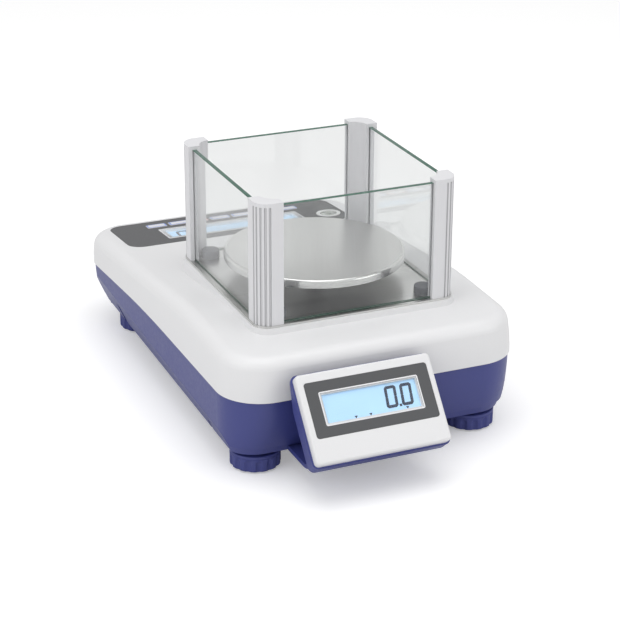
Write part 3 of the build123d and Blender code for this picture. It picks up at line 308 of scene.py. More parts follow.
def moulded_grain(tree, source):
    """Spark-eroded mould grain: a fine and a coarse noise make the height, and a broad one the mottle."""
    fine = tree.noise(source["Vector"], source["Grain"], 2.0, 0.6)
    coarse = tree.noise(source["Vector"], tree.math("MULTIPLY", source["Grain"], 0.37), 2.0, 0.5)
    broad = tree.noise(source["Vector"], 28.0, 3.0, 0.6)
    height = tree.math("ADD", tree.math("MULTIPLY", fine, 0.65), tree.math("MULTIPLY", coarse, 0.35))
    swing = tree.math("MULTIPLY", tree.math("SUBTRACT", broad, 0.5), source["Mottle"])
    shade = tree.math("ADD", swing, tree.ranged(fine, 0.35, 0.65, 0.985, 1.0))
    gloss = tree.math("ADD", tree.ranged(coarse, 0.3, 0.7, -0.04, 0.04), tree.math("MULTIPLY", swing, 0.6))
    return height, shade, gloss


def brushed_lines(tree, source):
    """Brushing: noise on a vector stretched along the strokes, in hairlines, streaks and broad bands."""
    hair = tree.noise(tree.scaled(source["Vector"], (45.0, 4200.0, 4200.0)), 1.0, 2.0, 0.7)
    streak = tree.noise(tree.scaled(source["Vector"], (14.0, 1300.0, 1300.0)), 1.0, 2.0, 0.6)
    band = tree.noise(tree.scaled(source["Vector"], (1.5, 48.0, 48.0)), 1.0, 2.0, 0.5)
    height = tree.math("ADD", tree.math("MULTIPLY", hair, 0.75), tree.math("MULTIPLY", streak, 0.25))
    lines = tree.math("MULTIPLY", tree.math("SUBTRACT", streak, 0.5), source["Contrast"])
    shade = tree.math("ADD", tree.ranged(band, 0.3, 0.7, 0.95, 1.02), lines)
    fine_gloss = tree.ranged(streak, 0.3, 0.7, -0.03, 0.03)
    gloss = tree.math("ADD", fine_gloss, tree.ranged(band, 0.3, 0.7, 0.04, -0.03))
    return height, shade, gloss


def handling(tree, source):
    """Handling marks: thin scratches where a stretched noise passes its middle, and soft spots of dust."""
    placing = {"Vector": source["Vector"], "Rotation": (0.3, 0.2, 0.6), "Scale": (25.0, 900.0, 300.0)}
    turned = tree.add("Mapping", placing).outputs[0]
    line = tree.noise(turned, 1.0, 1.0, 0.4)
    near = tree.math("ABSOLUTE", tree.math("SUBTRACT", line, 0.5))
    scratch = tree.ranged(near, 0.0, 0.006, 1.0, 0.0)
    patch = tree.ranged(tree.noise(source["Vector"], 60.0, 2.0, 0.5), 0.55, 0.7, 0.0, 1.0)
    dust = tree.ranged(tree.noise(source["Vector"], 2600.0, 1.0, 0.5), 0.72, 0.8, 0.0, 1.0)
    return tree.math("MULTIPLY", scratch, patch), dust


SURFACE = ("Height", "Shade", "Gloss")
EFFECTS = {
    "moulded_grain": ({"Vector": None, "Grain": 1800.0, "Mottle": 0.04}, SURFACE, moulded_grain),
    "brushed_lines": ({"Vector": None, "Contrast": 0.2}, SURFACE, brushed_lines),
    "handling": ({"Vector": None}, ("Scratch", "Dust"), handling),
}


def effect(tree, name, vector, **values):
    """Place an effect's node group in a material, with its vector and its values, and return its outputs."""
    group = tree.add("Group", node_tree=shader_group(name, *EFFECTS[name]))
    tree.tree.links.new(vector, group.inputs["Vector"])
    for label, value in values.items():
        group.inputs[label].default_value = value
    return group.outputs


def new_material(name):
    """Empty material with its output, a tree helper and the object coordinates."""
    material = bpy.data.materials.new(name)
    material.use_nodes = True
    material.node_tree.nodes.clear()
    tree = Tree(material.node_tree)
    coords = tree.add("TexCoord").outputs["Object"]
    return material, tree, coords


def principled(tree, inputs, height=None, distance=0.00002, strength=0.5):
    """Principled shader wired to the material's output, with a bump where a height is given."""
    if height is not None:
        bump = tree.add("Bump", {"Height": height, "Strength": strength, "Distance": distance})
        inputs = {**inputs, "Normal": bump.outputs[0]}
    shader = tree.add("BsdfPrincipled", inputs)
    output = tree.add("OutputMaterial")
    tree.tree.links.new(shader.outputs[0], output.inputs[0])


def toned(tree, colour, shade):
    """Colour multiplied by a grey shade."""
    grey = tree.add("CombineColor", {0: shade, 1: shade, 2: shade}).outputs[0]
    return tree.blend(1.0, colour, grey, "MULTIPLY")


def plastic(name, colour, roughness, grain, relief, mottle=0.03):
    """Moulded plastic: a grained, faintly mottled colour with thin handling scratches in its gloss."""
    material, tree, coords = new_material(name)
    surface = effect(tree, "moulded_grain", coords, Grain=grain, Mottle=mottle)
    marks = effect(tree, "handling", coords)
    scratched = tree.math("MULTIPLY", marks["Scratch"], 0.25)
    gloss = tree.math("ADD", surface["Gloss"], scratched)
    principled(tree, {
        "Base Color": toned(tree, colour, surface["Shade"]),
        "Roughness": tree.math("ADD", gloss, roughness, clamp=True),
        "IOR": 1.5,
    }, surface["Height"], 0.00003, relief)
    return material


def metal(name, colour, roughness, turn=0.0, relief=0.15, contrast=0.2):
    """Brushed or drawn metal whose strokes lie at an angle to the X axis, measured about Z."""
    material, tree, coords = new_material(name)
    turned = tree.add("Mapping", {"Vector": coords, "Rotation": (0.0, 0.0, -math.radians(turn))}).outputs[0]
    surface = effect(tree, "brushed_lines", turned, Contrast=contrast)
    principled(tree, {
        "Base Color": toned(tree, colour, surface["Shade"]),
        "Roughness": tree.math("ADD", surface["Gloss"], roughness, clamp=True),
        "Metallic": 1.0,
    }, surface["Height"], 0.00001, relief)
    return material


def drawn_post(name, colour):
    """Anodised post: a satin grey with faint drawing lines, with painted shade in the grooves of the round
    nose.

    The four posts mirror each other, so the place is taken from the absolute distances to the pan's axis.
    """
    material, tree, coords = new_material(name)
    lines = tree.noise(tree.scaled(coords, (2200.0, 2200.0, 30.0)), 1.0, 2.0, 0.6)
    local = tree.add("VectorMath", {0: coords, 1: tuple(PAN_AXIS)}, operation="SUBTRACT").outputs[0]
    mirrored = tree.add("VectorMath", {0: local}, operation="ABSOLUTE").outputs[0]
    nose = (NOSE_CENTRE[0] * MM, NOSE_CENTRE[1] * MM, 0.0)
    from_nose = tree.add("VectorMath", {0: mirrored, 1: nose}, operation="SUBTRACT").outputs[0]
    flat = tree.add("VectorMath", {0: from_nose, 1: (1.0, 1.0, 0.0)}, operation="MULTIPLY").outputs[0]
    away = tree.add("VectorMath", {0: flat}, operation="LENGTH").outputs["Value"]
    # Painted shade: a band over the nose's grooves is darkened to 0.6, standing in for the shadow in them.
    past_start = tree.ranged(away, GROOVE_SHADE_START[0] * MM, GROOVE_SHADE_START[1] * MM, 0.0, 1.0)
    before_end = tree.ranged(away, GROOVE_SHADE_END[0] * MM, GROOVE_SHADE_END[1] * MM, 1.0, 0.0)
    groove = tree.math("MULTIPLY", past_start, before_end)
    drawn = tree.ranged(lines, 0.3, 0.7, 0.975, 1.0)
    shade = tree.math("MULTIPLY", drawn, tree.ranged(groove, 0.0, 1.0, 1.0, 0.6))
    principled(tree, {"Base Color": toned(tree, colour, shade),
                      "Roughness": tree.ranged(lines, 0.3, 0.7, 0.36, 0.44), "Metallic": 0.0, "IOR": 1.5},
               lines, 0.00001, 0.15)
    return material


def cast(name, colour, roughness, grain, relief):
    """Cast or blasted metal: a grained surface with broad changes of tone."""
    material, tree, coords = new_material(name)
    surface = effect(tree, "moulded_grain", coords, Grain=grain, Mottle=0.14)
    principled(tree, {
        "Base Color": toned(tree, colour, surface["Shade"]),
        "Roughness": tree.math("ADD", surface["Gloss"], roughness, clamp=True),
        "Metallic": 1.0,
    }, surface["Height"], 0.00006, relief)
    return material


def glass(name, colour):
    """Clear glass that lets lamp light pass, faintly smeared."""
    material, tree, coords = new_material(name)
    smear = tree.noise(tree.scaled(coords, (40.0, 40.0, 12.0)), 1.0, 4.0, 0.6)
    rough = tree.ranged(smear, 0.45, 0.75, 0.0, 0.035)
    tint = toned(tree, colour, tree.ranged(smear, 0.3, 0.8, 1.0, 0.985))
    inputs = {"Base Color": tint, "Roughness": rough, "IOR": 1.5, "Transmission Weight": 1.0}
    shader = tree.add("BsdfPrincipled", inputs).outputs[0]
    clear = tree.add("BsdfTransparent", {"Color": (*colour, 1.0)}).outputs[0]
    shadow = tree.add("LightPath").outputs["Is Shadow Ray"]
    mix = tree.add("MixShader", {0: shadow, 1: shader, 2: clear})
    output = tree.add("OutputMaterial")
    tree.tree.links.new(mix.outputs[0], output.inputs[0])
    return material


def glass_edge(name, colour):
    """Cut edge of a pane: deep green glass, slightly ground, lighter where the cut catches the light."""
    material, tree, coords = new_material(name)
    wave = tree.noise(tree.scaled(coords, (300.0, 300.0, 300.0)), 1.0, 2.0, 0.5)
    principled(tree, {"Base Color": toned(tree, colour, tree.ranged(wave, 0.3, 0.7, 0.8, 1.2)),
                      "Roughness": tree.ranged(wave, 0.3, 0.7, 0.15, 0.3), "IOR": 1.5}, wave, 0.00001, 0.2)
    return material


def display_film(name, colour, sheet, window):
    """Backlit display: a fine cell grid and a weak glow, shaded under the edges of its window.

    The shade falls off with the distance from the edge, which is half the width or length less the place
    measured along the reader's right or up the face. It is deepest at the top and the right.
    """
    material, tree, coords = new_material(name)
    cells = tree.add("TexVoronoi", {"Vector": coords, "Scale": 5000.0}).outputs[0]
    broad = tree.noise(coords, 30.0, 2.0, 0.5)
    local = tree.add("VectorMath", {0: coords, 1: tuple(sheet.origin)}, operation="SUBTRACT").outputs[0]
    shades = []
    for axis, half, reach in ((sheet.right, window[0] / 2, 1.6), (sheet.up, window[1] / 2, 2.2)):
        along = tree.add("VectorMath", {0: local, 1: tuple(axis)}, operation="DOT_PRODUCT").outputs["Value"]
        shades.append(tree.ranged(tree.math("SUBTRACT", half * MM, along), 0.0, reach * MM, 0.62, 1.0))
        shades.append(tree.ranged(tree.math("ADD", half * MM, along), 0.0, 0.5 * reach * MM, 0.85, 1.0))
    cell_shade = tree.ranged(cells, 0.0, 0.8, 0.0, 0.03)
    shade = tree.math("ADD", cell_shade, tree.ranged(broad, 0.3, 0.7, 0.95, 1.0))
    for edge in shades:
        shade = tree.math("MULTIPLY", shade, edge)
    tone = toned(tree, colour, shade)
    principled(tree, {"Base Color": tone, "Roughness": tree.ranged(broad, 0.3, 0.7, 0.42, 0.5),
                      "Emission Color": tone, "Emission Strength": 0.25}, cells, 0.00001, 0.1)
    return material


def circuit_board(name, colour):
    """Solder mask with lighter tracks: a brick pattern whose joints are the tracks."""
    material, tree, coords = new_material(name)
    brick = tree.add("TexBrick", {"Vector": coords, "Scale": 120.0, "Mortar Size": 0.06})
    track = brick.outputs["Fac"]
    lighter = tuple(min(1.0, c * 1.8) for c in colour)
    principled(tree, {"Base Color": tree.blend(track, colour, lighter),
                      "Roughness": tree.ranged(track, 0.0, 1.0, 0.3, 0.45)}, track, 0.00004, 0.4)
    return material


# Settings

def colour_setting(name, description, default):
    """Colour property with a swatch."""
    return bpy.props.FloatVectorProperty(name=name, description=description, default=default, size=3,
                                         min=0.0, max=1.0, subtype="COLOR")


class BalanceColours(bpy.types.PropertyGroup):
    """Colours of the balance's finishes."""

    tray: colour_setting("Tray", "Lower housing and display arm", (0.048, 0.058, 0.235))
    cover: colour_setting("Cover", "Upper housing and display frame", (0.8, 0.8, 0.81))
    panel: colour_setting("Panel", "Operator panel and display label", (0.085, 0.087, 0.092))
    post: colour_setting("Posts", "Corner posts of the shield", (0.74, 0.74, 0.76))
    screen: colour_setting("Screens", "Backlit displays", (0.43, 0.66, 0.87))
    digit: colour_setting("Digits", "Dark figures on the displays", (0.003, 0.018, 0.055))
    steel: colour_setting("Steel", "Weighing pan and shield plate", (0.63, 0.63, 0.62))
    cap: colour_setting("Corner caps", "Round caps over the plate screws", (0.12, 0.125, 0.14))


class BalanceSizes(bpy.types.PropertyGroup):
    """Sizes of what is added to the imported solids."""

    frame_line: bpy.props.FloatProperty(name="Frame line", description="Width of the line round a display",
                                        default=0.8 * MM, min=0.1 * MM, max=3 * MM, subtype="DISTANCE")
    bubble: bpy.props.FloatProperty(name="Bubble", description="Radius of the level's bubble",
                                    default=2.3 * MM, min=1 * MM, max=4 * MM, subtype="DISTANCE")
    lens: bpy.props.FloatProperty(name="Lens", description="Focal length of the camera, for a 36 mm sensor",
                                  default=111.6, min=20.0, max=300.0, unit="CAMERA")


def finishes(colours):
    """Every material by its slot in the record."""
    return {
        "tray_blue": plastic("tray_blue", colours.tray, 0.36, 1500.0, 0.3, 0.02),
        "cover_white": plastic("cover_white", colours.cover, 0.34, 1500.0, 0.25, 0.012),
        "panel_grey": plastic("panel_grey", colours.panel, 0.42, 3000.0, 0.2, 0.02),
        "window_clear": glass("window_clear", (0.97, 0.985, 1.0)),
        "lcd_blue": display_film("lcd_blue", colours.screen, PANEL, PANEL_WINDOW),
        "board_green": circuit_board("board_green", (0.02, 0.13, 0.05)),
        "switch_black": plastic("switch_black", (0.02, 0.02, 0.022), 0.45, 2200.0, 0.4),
        "level_white": plastic("level_white", (0.78, 0.78, 0.78), 0.35, 2200.0, 0.2),
        "level_glass": glass("level_glass", (0.95, 0.98, 0.94)),
        "cast_aluminium": cast("cast_aluminium", (0.6, 0.6, 0.61), 0.45, 1400.0, 0.5),
        "cell_aluminium": metal("cell_aluminium", (0.7, 0.7, 0.72), 0.33),
        "screw_steel": metal("screw_steel", (0.55, 0.55, 0.56), 0.3),
        "support_grey": cast("support_grey", (0.42, 0.43, 0.45), 0.42, 1600.0, 0.4),
        "rubber_black": plastic("rubber_black", (0.018, 0.018, 0.019), 0.75, 2600.0, 0.5),
        "pan_steel": metal("pan_steel", colours.steel, 0.34, 66.7, 0.12, 0.16),
        "plate_steel": metal("plate_steel", colours.steel, 0.3, 0.0, 0.12, 0.14),
        "port_metal": metal("port_metal", (0.6, 0.59, 0.56), 0.3),
        "shield_glass": glass("shield_glass", (0.935, 0.945, 0.945)),
        "insert_brass": metal("insert_brass", (0.78, 0.56, 0.25), 0.3),
        "post_grey": drawn_post("post_grey", colours.post),
        "post_cap_grey": plastic("post_cap_grey", colours.post, 0.42, 1800.0, 0.3, 0.02),
        "cap_dark": plastic("cap_dark", colours.cap, 0.6, 2000.0, 0.4, 0.03),
        "foot_blue": plastic("foot_blue", colours.tray, 0.45, 1500.0, 0.4, 0.03),
        "key_white": plastic("key_white", (0.75, 0.75, 0.8), 0.35, 2600.0, 0.15, 0.01),
    }


MATERIALS = {}


class BALANCE_OT_finishes(bpy.types.Operator):
    """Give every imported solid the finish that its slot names"""

    bl_idname = "balance.finishes"
    bl_label = "Finishes"

    def execute(self, context):
        colours = context.scene.balance_colours
        MATERIALS.update(finishes(colours))
        for part in frame["record"]["subparts"]:
            obj = NODES[part["node"]]
            obj.data.materials.clear()
            obj.data.materials.append(MATERIALS[part["material_slot"]])
        small = display_film("lcd_blue_small", colours.screen, READOUT, DISPLAY_WINDOW)
        NODES["display_lcd"].data.materials[0] = small
        return {"FINISHED"}


def nought_outlines(width, height, stroke):
    """Outlines of a nought: a six-sided bar is turned and moved to each of its strokes, then leaned.

    The strokes run clockwise from the top one. Leaning moves a point to the side by its height times the
    lean's tangent.
    """
    gap = stroke * 0.08
    tall, wide = (height - stroke) / 2, width - stroke
    places = ((0, tall, False), (wide / 2, tall / 2, True), (wide / 2, -tall / 2, True),
              (0, -tall, False), (-wide / 2, -tall / 2, True), (-wide / 2, tall / 2, True))
    bars = []
    for x, y, upright in places:
        half = (tall if upright else wide) / 2 - gap
        end = half + stroke / 2 - gap
        half = half - stroke * 0.1
        bar = np.array([(-end, 0), (-half, -stroke / 2), (half, -stroke / 2), (end, 0), (half, stroke / 2),
                        (-half, stroke / 2)])
        bars.append((bar[:, ::-1] if upright else bar) + (x, y))
    outlines = np.array(bars)
    outlines[..., 0] += outlines[..., 1] * math.tan(FIGURE_LEAN)
    return outlines


def readout(right_edge, middle, width, height, stroke, pitch, level):
    """Rows of the figures 0.0: two noughts side by side and the point between them."""
    nought = nought_outlines(width, height, stroke)
    figures = [nought + (right_edge - width / 2 - pitch * place, middle) for place in (0, 1)]
    point = np.array([(-1, -1), (0, -1), (1, -1), (1, 1), (0, 1), (-1, 1)]) * stroke * 0.42
    spot = (right_edge - width - (pitch - width) / 2 - 0.3, middle - height / 2 + stroke * 0.42)
    return plates(np.concatenate([*figures, (point + spot)[None]]), level, level + FIGURE_THICK)


class BALANCE_OT_displays(bpy.types.Operator):
    """Add the printed frames, the figures and the small marks of both displays"""

    bl_idname = "balance.displays"
    bl_label = "Displays"

    def execute(self, context):
        colours, sizes = context.scene.balance_colours, context.scene.balance_sizes
        ink = plastic("display_ink", colours.digit, 0.5, 3000.0, 0.1)
        print_white = plastic("print_white", (0.85, 0.85, 0.87), 0.5, 3000.0, 0.15)
        line = sizes.frame_line / MM
        small_frame = READOUT.place(frame_ring(DISPLAY_WINDOW, line))
        large_frame = PANEL.place(frame_ring(PANEL_WINDOW, line))
        piece("display_frame_line", *skin(small_frame, ring=True), print_white, "base", "panel_grey")
        piece("panel_frame_line", *skin(large_frame, ring=True), print_white, "base", "panel_grey")
        small = readout(right_edge=28.4, middle=0.4, width=8.0, height=14.2, stroke=1.9, pitch=10.6,
                        level=DISPLAY_FIGURE_LEVEL)
        piece("display_figures", *skin(READOUT.place(small)), ink, "base", "lcd_blue")
        large = readout(right_edge=44.0, middle=0.6, width=9.5, height=17.0, stroke=2.1, pitch=13.0,
                        level=PANEL_FIGURE_LEVEL)
        piece("panel_figures", *skin(PANEL.place(large)), ink, "base", "lcd_blue")
        outlines = np.array(MARK_TRIANGLE) + np.array(MARK_PLACES)[:, None]
        marks = plates(outlines, DISPLAY_FIGURE_LEVEL, DISPLAY_FIGURE_LEVEL + FIGURE_THICK)
        piece("display_marks", *skin(READOUT.place(marks)), ink, "base", "lcd_blue")
        return {"FINISHED"}


class BALANCE_OT_shield(bpy.types.Operator):
    """Make the four panes with polished chamfers and green edges"""

    bl_idname = "balance.shield"
    bl_label = "Glass panes"

    def execute(self, context):
        edge = glass_edge("glass_edge", (0.05, 0.13, 0.095))
        for side in ("front", "rear", "left", "right"):
            node = f"glass_{side}"
            low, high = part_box(node)
            size = np.array(high - low) / MM
            across = side in ("front", "rear")
            width, thick = (size[0], size[1]) if across else (size[1], size[0])
            out = (0, 1, 0) if across else (1, 0, 0)
            sheet = Sheet(centre(node), (1, 0, 0) if across else (0, 1, 0), out)
            half = thick / 2
            flat = half - PANE_CHAMFER
            steps = ((PANE_CHAMFER, -half), (0, -flat), (0, flat), (PANE_CHAMFER, half))
            rows = np.stack([
                lifted(rounded_outline(width - 2 * inset, size[2] - 2 * inset, PANE_RADIUS - inset, 4), level)
                for inset, level in steps
            ])
            piece(node + "_pane", *skin(sheet.place(rows[None])), (MATERIALS["shield_glass"], edge), "base",
                  "shield_glass", (node,), 20.0, lambda normals, _: np.abs(normals @ sheet.out) < 0.95)
        return {"FINISHED"}


class BALANCE_OT_pan(bpy.types.Operator):
    """Turn the weighing pan with its rolled rim"""

    bl_idname = "balance.pan"
    bl_label = "Weighing pan"

    def execute(self, context):
        low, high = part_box("weighing_pan")
        radius, top, bottom = (high.x - low.x) / 2 / MM, high.z / MM, low.z / MM
        turn = np.linspace(0, np.pi / 2, 9)
        quarter = np.stack([np.sin(turn), np.cos(turn)], axis=-1)
        bend_centre = (radius - PAN_BEND, top - PAN_BEND)
        outer = bend_centre + PAN_BEND * quarter
        inner = (bend_centre + (PAN_BEND - PAN_SHEET) * quarter)[::-1]
        profile = [(0.05, top), *outer, (radius, bottom), (radius - PAN_SHEET, bottom), *inner,
                   (0.05, top - PAN_SHEET)]
        rows = lathe(profile, 192) * MM + (PAN_AXIS[0], PAN_AXIS[1], 0)
        rim = metal("pan_rim", context.scene.balance_colours.steel, 0.16, relief=0.05)
        piece("pan_dish", *skin(rows), (MATERIALS["pan_steel"], rim), "pan", "pan_steel", ("weighing_pan",),
              30.0, lambda normals, _: np.abs(normals[:, 2]) < 0.985)
        return {"FINISHED"}


class BALANCE_OT_keys(bpy.types.Operator):
    """Lay the printed face with its coloured outline on each key"""

    bl_idname = "balance.keys"
    bl_label = "Key faces"

    def execute(self, context):
        blue = plastic("key_outline_blue", (0.12, 0.25, 0.75), 0.4, 3000.0, 0.1)
        red = plastic("key_outline_red", (0.75, 0.3, 0.3), 0.4, 3000.0, 0.1)
        for number in range(1, 8):
            node = f"key_{number}"
            face = self.face_sheet(*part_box(node))
            across = np.stack([face.right, face.up], axis=-1)
            rows = np.stack([lifted(rounded_outline(2 * half_width, 2 * half_length, 0.8), level)
                             for half_width, half_length, level in KEY_FACE])
            outline = red if number == RED_KEY else blue
            piece(f"key_face_{number}", *skin(face.place(rows[None])), (MATERIALS["key_white"], outline),
                  f"button_{number}", "key_white", (), 20.0,
                  lambda _, centres: np.any(np.abs((centres - face.origin) @ across)
                                            > np.array(KEY_WHITE) * MM, axis=1))
        return {"FINISHED"}

    def face_sheet(self, low, high):
        """Frame on top of a key: its centre lies half a key's length down the slope from the rear edge."""
        half = KEY_LENGTH / 2 * MM
        back, down = half * math.cos(DECK_TILT), half * math.sin(DECK_TILT)
        return Sheet(((low.x + high.x) / 2, high.y - back, high.z - down), (1, 0, 0), PANEL_OUT)


class BALANCE_OT_feet(bpy.types.Operator):
    """Turn the four screw feet with their arched flutes"""

    bl_idname = "balance.feet"
    bl_label = "Screw feet"

    def execute(self, context):
        for corner in CORNERS:
            node = f"foot_knob_{corner}"
            middle = centre(node)
            rows = self.knob(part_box(node)) * MM + (middle[0], middle[1], 0)
            piece(f"foot_wheel_{corner}", *skin(rows), MATERIALS["foot_blue"], f"knob_{corner}", "foot_blue",
                  (node,), 40.0)
        return {"FINISHED"}

    def knob(self, box):
        """Rows of the knob from its recess outwards, up the fluted side, over the hub and up the stem.

        A flute is an upright round groove that ends in a ball. The side's radius at an angle from the
        flute's middle is where the ray meets the groove, reach cos - sqrt(radius^2 - (reach sin)^2), kept
        within the rim. A shallow line runs round the knob below its upper edge.
        """
        low, high = box
        radius, bottom, stem_top = (high.x - low.x) / 2 / MM, low.z / MM, high.z / MM
        top = bottom + KNOB_HEIGHT
        turn = np.linspace(0, 2 * np.pi, FLUTES * 24, endpoint=False)
        reach = radius + FLUTE_RADIUS - FLUTE_DEPTH
        away = (turn + np.pi / FLUTES) % (2 * np.pi / FLUTES) - np.pi / FLUTES
        bend = np.linspace(0, np.pi / 2, 5)
        core = radius - KNOB_EDGE
        low_bend = np.stack([core + KNOB_EDGE * np.sin(bend), bottom + KNOB_EDGE * (1 - np.cos(bend))], -1)
        high_bend = np.stack([core + KNOB_EDGE * np.cos(bend), top - KNOB_EDGE * (1 - np.sin(bend))], -1)
        levels = np.linspace(bottom + KNOB_EDGE + 0.3, top - KNOB_EDGE - 0.3, 15)
        levels = levels[levels < top - 2.3]
        side = np.stack([np.full(levels.shape, radius), levels], -1)
        line = np.array([(0, -2.2), (-0.2, -2.1), (-0.2, -1.8), (0, -1.7)]) + (radius, top)
        recess = np.array([(11.9, 1.9), (12.3, 1.9), (12.3, 0)]) + (0, bottom)
        hub = np.array([(12.7, 0), (12.5, 0.1), (12.5, 0.8), (12.4, 0.9), (4.0, 0.9)]) + (0, top)
        stem = [(4.0, stem_top - 0.6), (3.4, stem_top)]
        profile = np.concatenate([recess, low_bend, side, line, high_bend, hub, stem])
        height = profile[:, 1, None]
        ball = FLUTE_RADIUS ** 2 - np.maximum(height - FLUTE_ARCH, 0) ** 2 - (reach * np.sin(away)) ** 2
        cut = reach * np.cos(away) - np.sqrt(np.maximum(ball, 0))
        plain = np.broadcast_to(profile[:, 0, None], ball.shape)
        rim = np.where((ball > 0) & (plain > 14), np.minimum(plain, cut), plain)
        heights = np.broadcast_to(height, rim.shape)
        return np.stack([rim * np.cos(turn), rim * np.sin(turn), heights], axis=-1)[None]


class BALANCE_OT_level(bpy.types.Operator):
    """Add the bubble and the ring line of the level"""

    bl_idname = "balance.level"
    bl_label = "Bubble level"

    def execute(self, context):
        low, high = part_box("level_lens")
        top = np.array((centre("level_cup")[0], (low.y + high.y) / 2, high.z))
        vial = Sheet(top - np.array(PANEL_OUT) * VIAL_FACE * MM, (1, 0, 0), PANEL_OUT)
        ring = vial.place(lathe(LEVEL_RING, 96))
        mark = plastic("level_mark", (0.25, 0.26, 0.27), 0.5, 3000.0, 0.1)
        piece("level_ring", *skin(ring, ring=True), mark, "base", "level_white")
        radius = context.scene.balance_sizes.bubble / MM
        turn = np.linspace(0.02, np.pi - 0.02, 17)
        profile = np.stack([radius * np.sin(turn), BUBBLE_LEVEL - BUBBLE_RISE * np.cos(turn)], axis=-1)
        bubble = vial.place(lathe(profile, 64))
        piece("level_bubble", *skin(bubble), MATERIALS["level_glass"], "base", "level_glass")
        return {"FINISHED"}


def cross_screw(radius, height, shank, length, cross, depth):
    """Rows of a pan-head screw with a cross recess, its head's top at 0 and the shank below.

    A polar grid covers the head: its height is a low dome, less the depth times a mask. The mask is 1 where
    the place is within half the cross's width of either arm's middle and inside its length, and falls to 0
    over a short slope.
    """
    turn = np.linspace(0, 2 * np.pi, 96, endpoint=False)
    reach = np.linspace(0.01, radius - 0.3, 22)
    across, up = reach[:, None] * np.cos(turn), reach[:, None] * np.sin(turn)
    arm = np.minimum(np.maximum(np.abs(across), cross), np.maximum(np.abs(up), cross)) - cross
    mask = np.clip(1 - arm / 0.15, 0, 1) * np.clip((radius * 0.62 - reach[:, None]) / 0.3 + 1, 0, 1)
    dome = -0.06 * radius * (reach[:, None] / radius) ** 2
    head = np.stack([across, up, dome - depth * mask], axis=-1)
    tip = -height - length
    side = lathe([(radius, -0.35), (radius, -height), (shank, -height), (shank, tip), (0.02, tip)], 96)
    return np.concatenate([head, side[0]])[None]


class BALANCE_OT_fasteners(bpy.types.Operator):
    """Make the cross-head screws of the housing and of the second display"""

    bl_idname = "balance.fasteners"
    bl_label = "Screws"

    def execute(self, context):
        low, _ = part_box("housing_screws")
        long_screw = cross_screw(radius=3.8, height=2.5, shank=1.98, length=23.9, cross=0.42, depth=1.2)
        for number, (x, forward, side) in enumerate(self.both_sides(HOUSING_SCREWS), 1):
            seat = Sheet((side * x * MM, PAN_AXIS[1] - forward * MM, low.z), (-1, 0, 0), (0, 0, -1))
            piece(f"housing_screw_{number}", *skin(seat.place(long_screw)), MATERIALS["screw_steel"], "base",
                  "screw_steel", ("housing_screws",))
        short_screw = cross_screw(radius=2.4, height=1.6, shank=1.38, length=10.5, cross=0.3, depth=0.8)
        for number, (x, up, side) in enumerate(self.both_sides(DISPLAY_SCREWS), 1):
            back = READOUT.place((-side * x, up - DISPLAY_WINDOW_UP, DISPLAY_SCREW_SEAT))
            seat = Sheet(back, (1, 0, 0), -READOUT.out)
            piece(f"display_screw_{number}", *skin(seat.place(short_screw)), MATERIALS["screw_steel"], "base",
                  "screw_steel", ("display_screws",))
        return {"FINISHED"}

    def both_sides(self, places):
        """Each place with a side of -1, then with a side of 1."""
        return [(*place, side) for place in places for side in (-1, 1)]


class BALANCE_OT_sockets(bpy.types.Operator):
    """Add the contacts of the data socket and the lining of the power socket"""

    bl_idname = "balance.sockets"
    bl_label = "Sockets"

    def execute(self, context):
        gold = metal("contact_gold", (0.85, 0.62, 0.25), 0.25)
        # The near-black material is painted shade: it goes on the middle of each contact's face, where the
        # shadow down its hole would be; the face has no hole.
        dark = plastic("socket_hole_shade", (0.008, 0.008, 0.008), 0.7, 2600.0, 0.1)
        port, jack = self.mouth("data_port"), self.mouth("power_jack")
        eyelet = lathe(CONTACT_PROFILE, 24)
        spots = [((place - (count - 1) / 2) * CONTACT_PITCH, up, 0.02)
                 for count, up in CONTACT_ROWS for place in range(count)]
        for number, spot in enumerate(spots, 1):
            middle = port.place(spot)
            rows = port.place(eyelet + spot)
            piece(f"data_contact_{number}", *skin(rows), (gold, dark), "base", "port_metal", (), 30.0,
                  lambda _, centres: np.linalg.norm(centres - middle, axis=1) < CONTACT_HOLE * MM)
        lining = jack.place(lathe(LINING_PROFILE, 64))
        piece("power_lining", *skin(lining, ring=True), MATERIALS["port_metal"], "base", "port_metal")
        return {"FINISHED"}

    def mouth(self, node):
        """Frame on the outer face of a socket in the far side."""
        low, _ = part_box(node)
        middle = centre(node)
        return Sheet((low.x, middle[1], middle[2]), (0, -1, 0), (-1, 0, 0))


